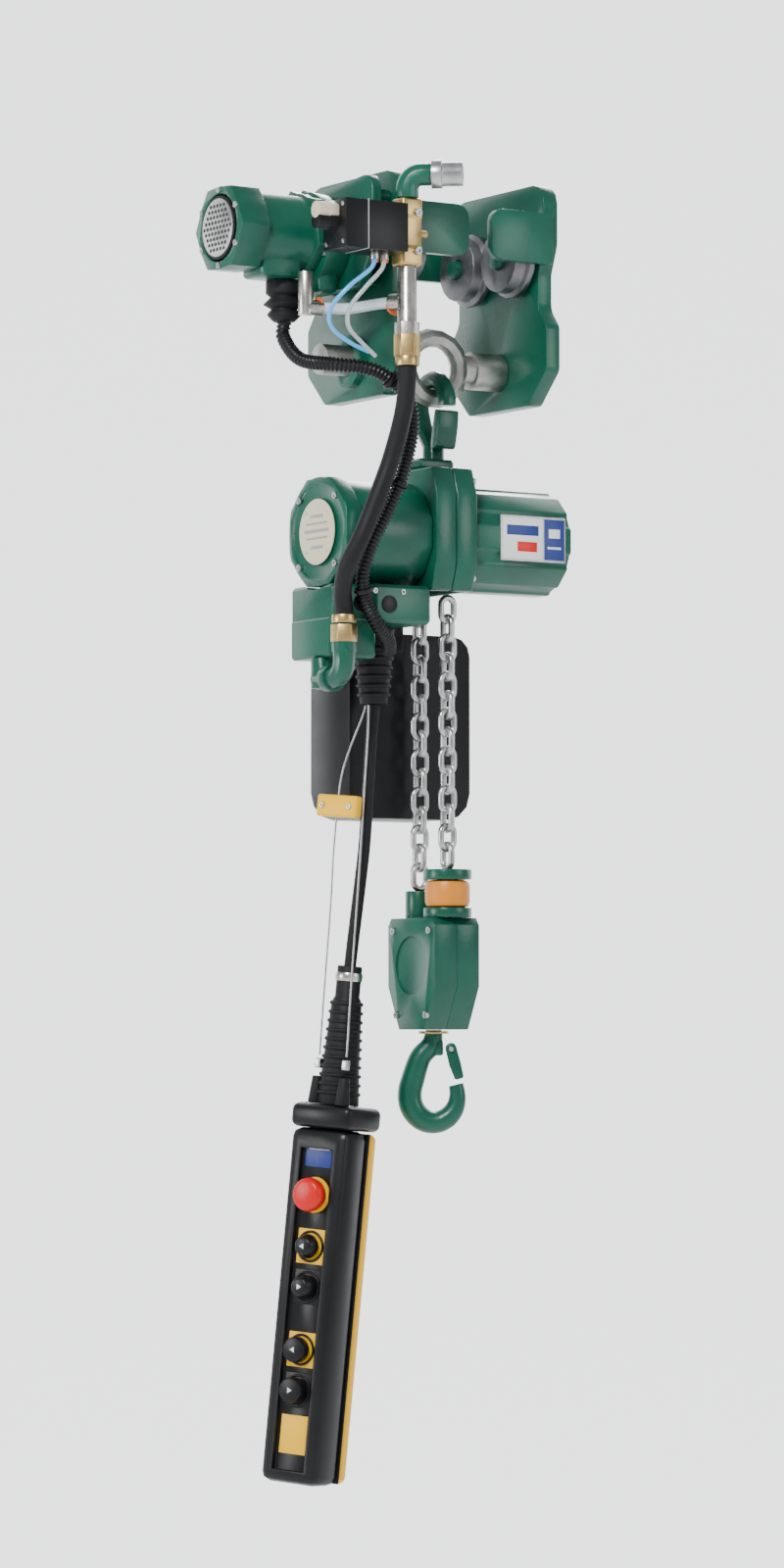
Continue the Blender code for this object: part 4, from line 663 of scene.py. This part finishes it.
# %% Plates and label
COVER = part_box("end_cover")
BODY_Z = (COVER[0].z + COVER[1].z) / 2
RIVET_CIRCLE = 0.0305
disc("rating_plate", "beige", "hoist", 0.036, 0.0014, (COVER[0].x + 0.0002, 0, BODY_Z), LEFT, 64)
for INDEX in range(4):
    ANGLE = math.radians(45 + 90 * INDEX)
    ROUND = RIVET_CIRCLE * Vector((0, math.cos(ANGLE), math.sin(ANGLE)))
    SPOT = Vector((COVER[0].x - 0.0011, 0, BODY_Z)) + ROUND
    disc(f"rating_rivet_{INDEX}", "bright_steel", "hoist", 0.0022, 0.0010, SPOT, LEFT, 20, top=0.0014)
LINES = ((0.017, 0.026), (0.009, 0.044), (0.001, 0.050), (-0.007, 0.044), (-0.017, 0.026))
for INDEX, (Z, WIDTH) in enumerate(LINES):
    block(
        f"rating_line_{INDEX}", "grey_print", "hoist", (0.0002, WIDTH, 0.0022 if INDEX % 2 else 0.0036),
        (COVER[0].x - 0.00125, 0, BODY_Z + Z), edge=0.00005,
    )
ring_of("cover_screw", 4, 0.0520, 0.0040, (COVER[0].x - 0.0005, 0, BODY_Z), "hoist", math.radians(45))

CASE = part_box("gear_casing")
LABEL_X = (CASE[0].x + CASE[1].x) / 2 + 0.012
LABEL_Y = CASE[0].y - 0.0003
LABEL = (
    ("label_border", "silver_disc", 0.0, 0.0, 0.086, 0.050, 0.0012),
    ("label_white", "print_white", -0.014, 0.0, 0.052, 0.045, 0.0015),
    ("label_blue", "print_blue", 0.028, 0.0, 0.027, 0.045, 0.0015),
    ("label_bar_top", "print_blue", -0.014, 0.009, 0.042, 0.011, 0.0018),
    ("label_bar_low", "red_plastic", -0.008, -0.009, 0.026, 0.011, 0.0018),
    ("label_mark", "print_white", 0.028, 0.007, 0.015, 0.010, 0.0018),
    ("label_line", "print_white", 0.028, -0.009, 0.018, 0.0025, 0.0018),
)
for NAME, LOOK, SIDEWAYS, RISE, WIDTH, HEIGHT, DEPTH in LABEL:
    LABEL_AT = (LABEL_X + SIDEWAYS, LABEL_Y, BODY_Z + RISE)
    block(NAME, LOOK, "hoist", (WIDTH, DEPTH, HEIGHT), LABEL_AT, edge=0.0002)
print("plates and label made")

# %% [markdown]
# ## Plugs and screws of the hoist
# The control valve block has two black cover plugs and three screws; four more close the castings.

# %% Plugs and screws
CONTROL_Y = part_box("control_valve_block")[0].y
PLUG_Z = -0.352
for INDEX, X in enumerate((-0.128, -0.092)):
    PLUG_AT = (X, CONTROL_Y + 0.0006, PLUG_Z)
    disc(f"control_plug_{INDEX}", "black_plastic", "hoist", 0.0095, 0.0022, PLUG_AT, FRONT, 40)
for INDEX, X in enumerate((-0.131, -0.125)):
    HOLE_AT = (X, CONTROL_Y - 0.0017, PLUG_Z)
    disc(f"plug_hole_{INDEX}", "dark_steel", "hoist", 0.0012, 0.0004, HOLE_AT, FRONT, 16, 0)
for INDEX, X in enumerate((-0.146, -0.110, -0.074)):
    screw(f"control_screw_{INDEX}", "hoist", 0.0032, (X, CONTROL_Y + 0.0004, -0.338), FRONT)
for Y in (-0.052, 0.052):
    for Z in (-0.212, -0.318):
        SCREW_NAME = f"casting_screw_{round(Y * 1000)}_{round(Z * 1000)}"
        screw(SCREW_NAME, "hoist", 0.0042, (0.0178, Y, Z), (1, 0, 0))
print("hoist dressed")

# %% [markdown]
# ## Bottom block details
# An amber rubber buffer on a green base stops the block gently, a brass ring sits at the hook's neck, and
# screws close the two halves. The buffer's wide bevel gives the soft bulge of moulded rubber.

# %% Buffer and block
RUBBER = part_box("buffer_rubber")
BUFFER_AT = Vector(((RUBBER[0].x + RUBBER[1].x) / 2, (RUBBER[0].y + RUBBER[1].y) / 2, RUBBER[0].z))
BUFFER_HEIGHT = RUBBER[1].z - RUBBER[0].z
BUFFER_RADIUS = (RUBBER[1].x - RUBBER[0].x) / 2
BULGE = disc(
    "buffer_rubber_fine", "amber_rubber", "block", BUFFER_RADIUS * 0.93, BUFFER_HEIGHT - 0.0112,
    BUFFER_AT + 0.0108 * UP, UP, 64, 0.0060,
)
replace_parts(BULGE, "buffer_rubber")
disc("buffer_base", "green_enamel", "block", BUFFER_RADIUS, 0.0105, BUFFER_AT, UP, 64, 0.0010)
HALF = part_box("block_half_left")
NECK_Z = HALF[0].z
disc("neck_ring", "brass", "hook", 0.0165, 0.0030, (0, 0, NECK_Z - 0.0046), UP)
for INDEX, (Y, Z) in enumerate(((-0.036, -0.704), (0.036, -0.704), (-0.030, -0.796), (0.030, -0.796))):
    screw(f"block_screw_{INDEX}", "block", 0.0040, (HALF[0].x - 0.0004, Y, Z), LEFT)
print("bottom block dressed")

# %% [markdown]
# ## Load hook
# The hook is forged from one bar: a short neck, then an egg-shaped bowl, thickest near its bottom, that
# tapers to the tip. A curve through its middle line, with a radius at every point, gives that in one piece.

# %% Load hook
HOOK_TURN = Matrix.Rotation(math.radians(-33), 4, "Z")
HOOK_TOP = NECK_Z - 0.0004
HOOK_THICK = 0.0235
BOWL_DROP = 0.072
BOWL_HALF_WIDTH = 0.0262
BOWL_HALF_HEIGHT = 0.0290
BOWL_STEPS = 24
SWELL = 0.16
TAPER = 0.30


def forged_hook():
    """One sweep along the neck and round the bowl, thickest near the bottom."""
    points = [(0, 0, HOOK_TOP - 0.006), (-0.004, 0, HOOK_TOP - 0.018), (-0.0150, 0, HOOK_TOP - 0.031)]
    radii = [0.84, 0.90, 1.0]
    for step in range(BOWL_STEPS + 1):
        share = step / BOWL_STEPS
        angle = math.radians(155 + 226 * share)
        height = BOWL_HALF_HEIGHT * (1.18 if math.sin(angle) > 0 else 1.0)
        across = BOWL_HALF_WIDTH * math.cos(angle)
        points.append((across, 0, HOOK_TOP - BOWL_DROP + height * math.sin(angle)))
        swelling = SWELL * math.sin(math.pi * min(1.0, share * 1.35))
        radii.append(1.0 + swelling - TAPER * max(0.0, share - 0.75) * 4)
    route = smooth_route(points, 0.003)
    widths = []
    for index in range(len(route)):
        place = index / (len(route) - 1) * (len(radii) - 1)
        low = min(int(place), len(radii) - 2)
        widths.append(radii[low] + (radii[low + 1] - radii[low]) * (place - low))
    curve = tube("load_hook_fine", "green_enamel", "hook", route, HOOK_THICK / 2, resolution=5, radii=widths)
    select_only(curve)
    bpy.ops.object.convert(target="MESH")
    obj = bpy.context.object
    obj.data.transform(HOOK_TURN)
    bpy.ops.object.shade_smooth_by_angle(angle=math.radians(50))
    return obj


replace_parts(forged_hook(), "load_hook")
disc("hook_neck", "green_enamel", "hook", 0.0102, 0.014, (0, 0, HOOK_TOP - 0.014), UP, 40, 0.002, 0.0098)
LUG = rounded_box("hook_lug", (0.0100, 0.016, 0.017), 0.0025)
LUG.data.transform(HOOK_TURN @ Matrix.Translation((0.0055, 0, HOOK_TOP - 0.0195)))
finished(LUG, "green_enamel", "hook")
HOOK_LATCH = JOINTS["hook_latch_open"]
AXIS = Vector(HOOK_LATCH["axis"])
PIN_LENGTH = 0.0325
PIN_END = Vector(HOOK_LATCH["pos_m"]) - AXIS * PIN_LENGTH / 2
disc("latch_pin", "bright_steel", "hook", 0.0026, PIN_LENGTH, PIN_END, AXIS, 24)
print("hook made")

# %% [markdown]
# ## Pendant details
# Five buttons stand in a long recess: a red mushroom in a yellow ring, two cones and two cylinders on
# coloured plates. Everything is placed in the pendant's own upright frame and then leaned with it.

# %% Buttons
GAP = 0.0004
SLEEVE_TOP = -0.286
SLEEVE_LENGTH = 0.152
CAP_HEIGHT = 0.026
CAP_TOP = SLEEVE_TOP - SLEEVE_LENGTH - GAP
CASE_TOP = CAP_TOP - CAP_HEIGHT - GAP
CASE_LENGTH = 0.385
CASE_DEPTH = 0.066
FACE_Y = -CASE_DEPTH / 2
RECESS = FACE_Y + 0.006
OUT = facing((0, -1, 0))
UP_HOSE = facing((0, 0, 1))
BUTTON_TOP = CASE_TOP - 0.072
ROWS = (
    ("stop_button", 0.0), ("lift_button", -0.056), ("lower_button", -0.100),
    ("travel_left_button", -0.168), ("travel_right_button", -0.212),
)


def pendant_block(name, look, size, at, edge):
    """Box in the pendant's frame."""
    obj = rounded_box(name, size, edge)
    obj.data.transform(HANG @ Matrix.Translation(at))
    finished(obj, look, "pendant")


PLATE_WIDTH = 0.034
STOP_RADIUS = 0.0195
PLATE_LOOKS = ("yellow_plastic", "yellow_plastic", "black_plastic", "yellow_plastic", "black_plastic")
for (NAME, DROP), LOOK in zip(ROWS, PLATE_LOOKS):
    Z = BUTTON_TOP + DROP
    if NAME == "stop_button":
        ring("stop_ring", "yellow_plastic", "pendant", 0.0168, 0.0028, hung((0, RECESS - 0.0016, Z)), OUT)
        disc("stop_button_fine", "red_plastic", NAME, 0.0122, 0.006, hung((0, RECESS - 0.0048, Z)), OUT, 48)
        CAP_AT = hung((0, RECESS - 0.0088, Z))
        CAP = disc("stop_cap", "red_plastic", NAME, STOP_RADIUS, 0.013, CAP_AT, OUT, 56, 0.0040, 0.0170)
        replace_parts(CAP, NAME)
        continue
    pendant_block(f"{NAME}_plate", LOOK, (PLATE_WIDTH, 0.0012, 0.038), (0, RECESS - 0.0003, Z), 0.0005)
    ring(f"{NAME}_collar", "black_plastic", "pendant", 0.0161, 0.0014, hung((0, RECESS - 0.0014, Z)), OUT)
    CONE = NAME in ("lift_button", "lower_button")
    CAP = disc(
        f"{NAME}_fine", "black_plastic", NAME, 0.0142, 0.0125, hung((0, RECESS - 0.0053, Z)), OUT, 48,
        0.0022, 0.0095 if CONE else 0.0136,
    )
    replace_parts(CAP, NAME)
    TURN = 90 if NAME in ("lift_button", "travel_left_button") else -90
    disc(
        f"{NAME}_arrow", "print_white", NAME, 0.0036, 0.0003, hung((0, RECESS - 0.0177, Z)), OUT, 3, 0,
        spin=math.radians(TURN),
    )
print(len(ROWS), "buttons with their plates and rings")

# %% [markdown]
# ## Plates and seam
# Thin prints lie in the recess above and below the buttons, and a dark seal parts the two shells.

# %% Plates and seam
PRINTS = (
    ("blank_plate", "yellow_plastic", (PLATE_WIDTH, 0.0012, 0.042), 0.0003, BUTTON_TOP - 0.260, 0.0005),
    ("pendant_label", "print_blue", (PLATE_WIDTH, 0.0010, 0.036), 0.0003, CASE_TOP - 0.024, 0.0004),
    ("label_strip", "print_white", (0.026, 0.0011, 0.006), 0.0004, CASE_TOP - 0.020, 0.0002),
)
for NAME, LOOK, SIZE, RISE, Z, EDGE in PRINTS:
    pendant_block(NAME, LOOK, SIZE, (0, RECESS - RISE, Z), EDGE)
SEAM_AT = (0, FACE_Y + 0.046, CASE_TOP - CASE_LENGTH / 2)
pendant_block("seam", "black_rubber", (0.0746, 0.0016, CASE_LENGTH - 0.005), SEAM_AT, 0.0006)
print(len(PRINTS), "prints and the seam")

# %% [markdown]
# ## Cap, clamps and sleeve
# Two rubber stand-offs and steel clamps hold the relief wires at the cap; a plated band grips the hose, and
# the ribs of sleeve and boot are rows of rings that grow or shrink evenly.

# %% Cap, clamps and sleeve
for SIDE, X, Y in (("left", -0.0215, -0.0115), ("right", 0.0215, -0.0235)):
    disc(
        f"standoff_{SIDE}", "black_rubber", "pendant", 0.0085, 0.030, hung((X, Y, CAP_TOP + GAP)), UP_HOSE,
        32, 0.0008, 0.0055,
    )
    pendant_block(f"wire_clamp_{SIDE}", "bright_steel", (0.0075, 0.0060, 0.0110), (X, Y, -0.394), 0.0010)
BAND_AT = hung((0, 0, SLEEVE_TOP - 0.012))
ring("sleeve_band", "nickel", "pendant", 0.0140, 0.0012, BAND_AT, UP_HOSE, stretch=4.0)
for INDEX in range(11):
    SHARE = INDEX / 10
    ring(
        f"sleeve_rib_{INDEX}", "black_rubber", "pendant", 0.0164 + 0.0058 * SHARE, 0.0022,
        hung((0, 0, -0.327 - 0.098 * SHARE)), UP_HOSE,
    )
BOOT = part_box("pendant_boot")
BOOT_AXIS = ((BOOT[0].x + BOOT[1].x) / 2, (BOOT[0].y + BOOT[1].y) / 2)
for INDEX in range(6):
    SHARE = INDEX / 5
    ring(
        f"boot_rib_{INDEX}", "black_rubber", "hoist", 0.0208 - 0.0048 * SHARE, 0.0024,
        (*BOOT_AXIS, BOOT[1].z - 0.022 - 0.050 * SHARE), UP,
    )
CLAMP_Z = -0.113
pendant_block("clamp_back", "black_plastic", (0.044, 0.0055, 0.022), (-0.020, -0.0055, CLAMP_Z), 0.0014)
for X in (-0.040, -0.005):
    screw(f"clamp_screw_{round(-X * 1000)}", "pendant", 0.0030, hung((X, -0.0238, CLAMP_Z)), OUT)
for X in (-0.030, 0.030):
    screw(f"cap_screw_{round(X * 1000)}", "pendant", 0.0034, hung((X, -0.020, CAP_TOP - GAP)), UP_HOSE)
print("pendant dressed")

# %% [markdown]
# ## Stage
# A pale floor and backdrop, far enough away not to touch the object, and four large soft lights.

# %% Stage and lights
MIDDLE = Vector((0, 0, -0.6))


def flat(name, at, turn, colour, glow):
    """Wide sheet that glows a little, so that it stays pale."""
    bpy.ops.mesh.primitive_plane_add(size=60.0, location=at, rotation=turn)
    obj = bpy.context.object
    obj.name = name
    look = Look(name, colour, 0.85, Emission_Color=(*colour, 1.0), Emission_Strength=glow)
    obj.data.materials.append(look.material)


def soft_light(name, at, size, power):
    """Round area light turned to the middle of the object."""
    data = bpy.data.lights.new(name, "AREA")
    data.energy = power
    data.shape = "DISK"
    data.size = size
    obj = bpy.data.objects.new(name, data)
    bpy.context.scene.collection.objects.link(obj)
    obj.location = at
    obj.rotation_euler = (MIDDLE - Vector(at)).to_track_quat("-Z", "Y").to_euler()


AZIMUTH = math.radians(-33)
PALE = (0.93, 0.935, 0.94)
flat("floor", (0, 0, -3.4), (0, 0, 0), PALE, 0.4)
flat("backdrop", (9.0, 13.8, 0), (math.radians(90), 0, AZIMUTH), PALE, 1.7)
soft_light("key_light", (-2.8, -2.2, 1.9), 0.9, 165)
soft_light("fill_light", (1.6, -3.0, 0.2), 1.6, 22)
soft_light("side_light", (-3.2, 0.8, -0.4), 1.2, 40)
soft_light("back_light", (1.4, 1.6, 1.4), 1.2, 60)
WORLD = bpy.data.worlds.new("pale_room")
WORLD.use_nodes = True
SKY = WORLD.node_tree.nodes["Background"]
SKY.inputs["Color"].default_value = (0.90, 0.93, 1.0, 1.0)
SKY.inputs["Strength"].default_value = 0.48
bpy.context.scene.world = WORLD
print("stage and lights ready")

# %% [markdown]
# ## Camera
# A long lens far away keeps the upright edges parallel; it looks slightly up from the height of the hook.

# %% Camera
DISTANCE = 5.8
CAMERA_Z = -0.83
PITCH = math.radians(2.84)
YAW = math.radians(0.45)
CAMERA_AT = Vector((DISTANCE * math.sin(AZIMUTH), -DISTANCE * math.cos(AZIMUTH), CAMERA_Z))
CAMERA = bpy.data.cameras.new("camera")
CAMERA.lens = 121.3
CAMERA_OBJECT = bpy.data.objects.new("camera", CAMERA)
bpy.context.scene.collection.objects.link(CAMERA_OBJECT)
CAMERA_OBJECT.location = CAMERA_AT
CAMERA_OBJECT.rotation_euler = (math.radians(90) + PITCH, 0, AZIMUTH + YAW)
bpy.context.scene.camera = CAMERA_OBJECT
print("camera", round(DISTANCE, 2), "m away")
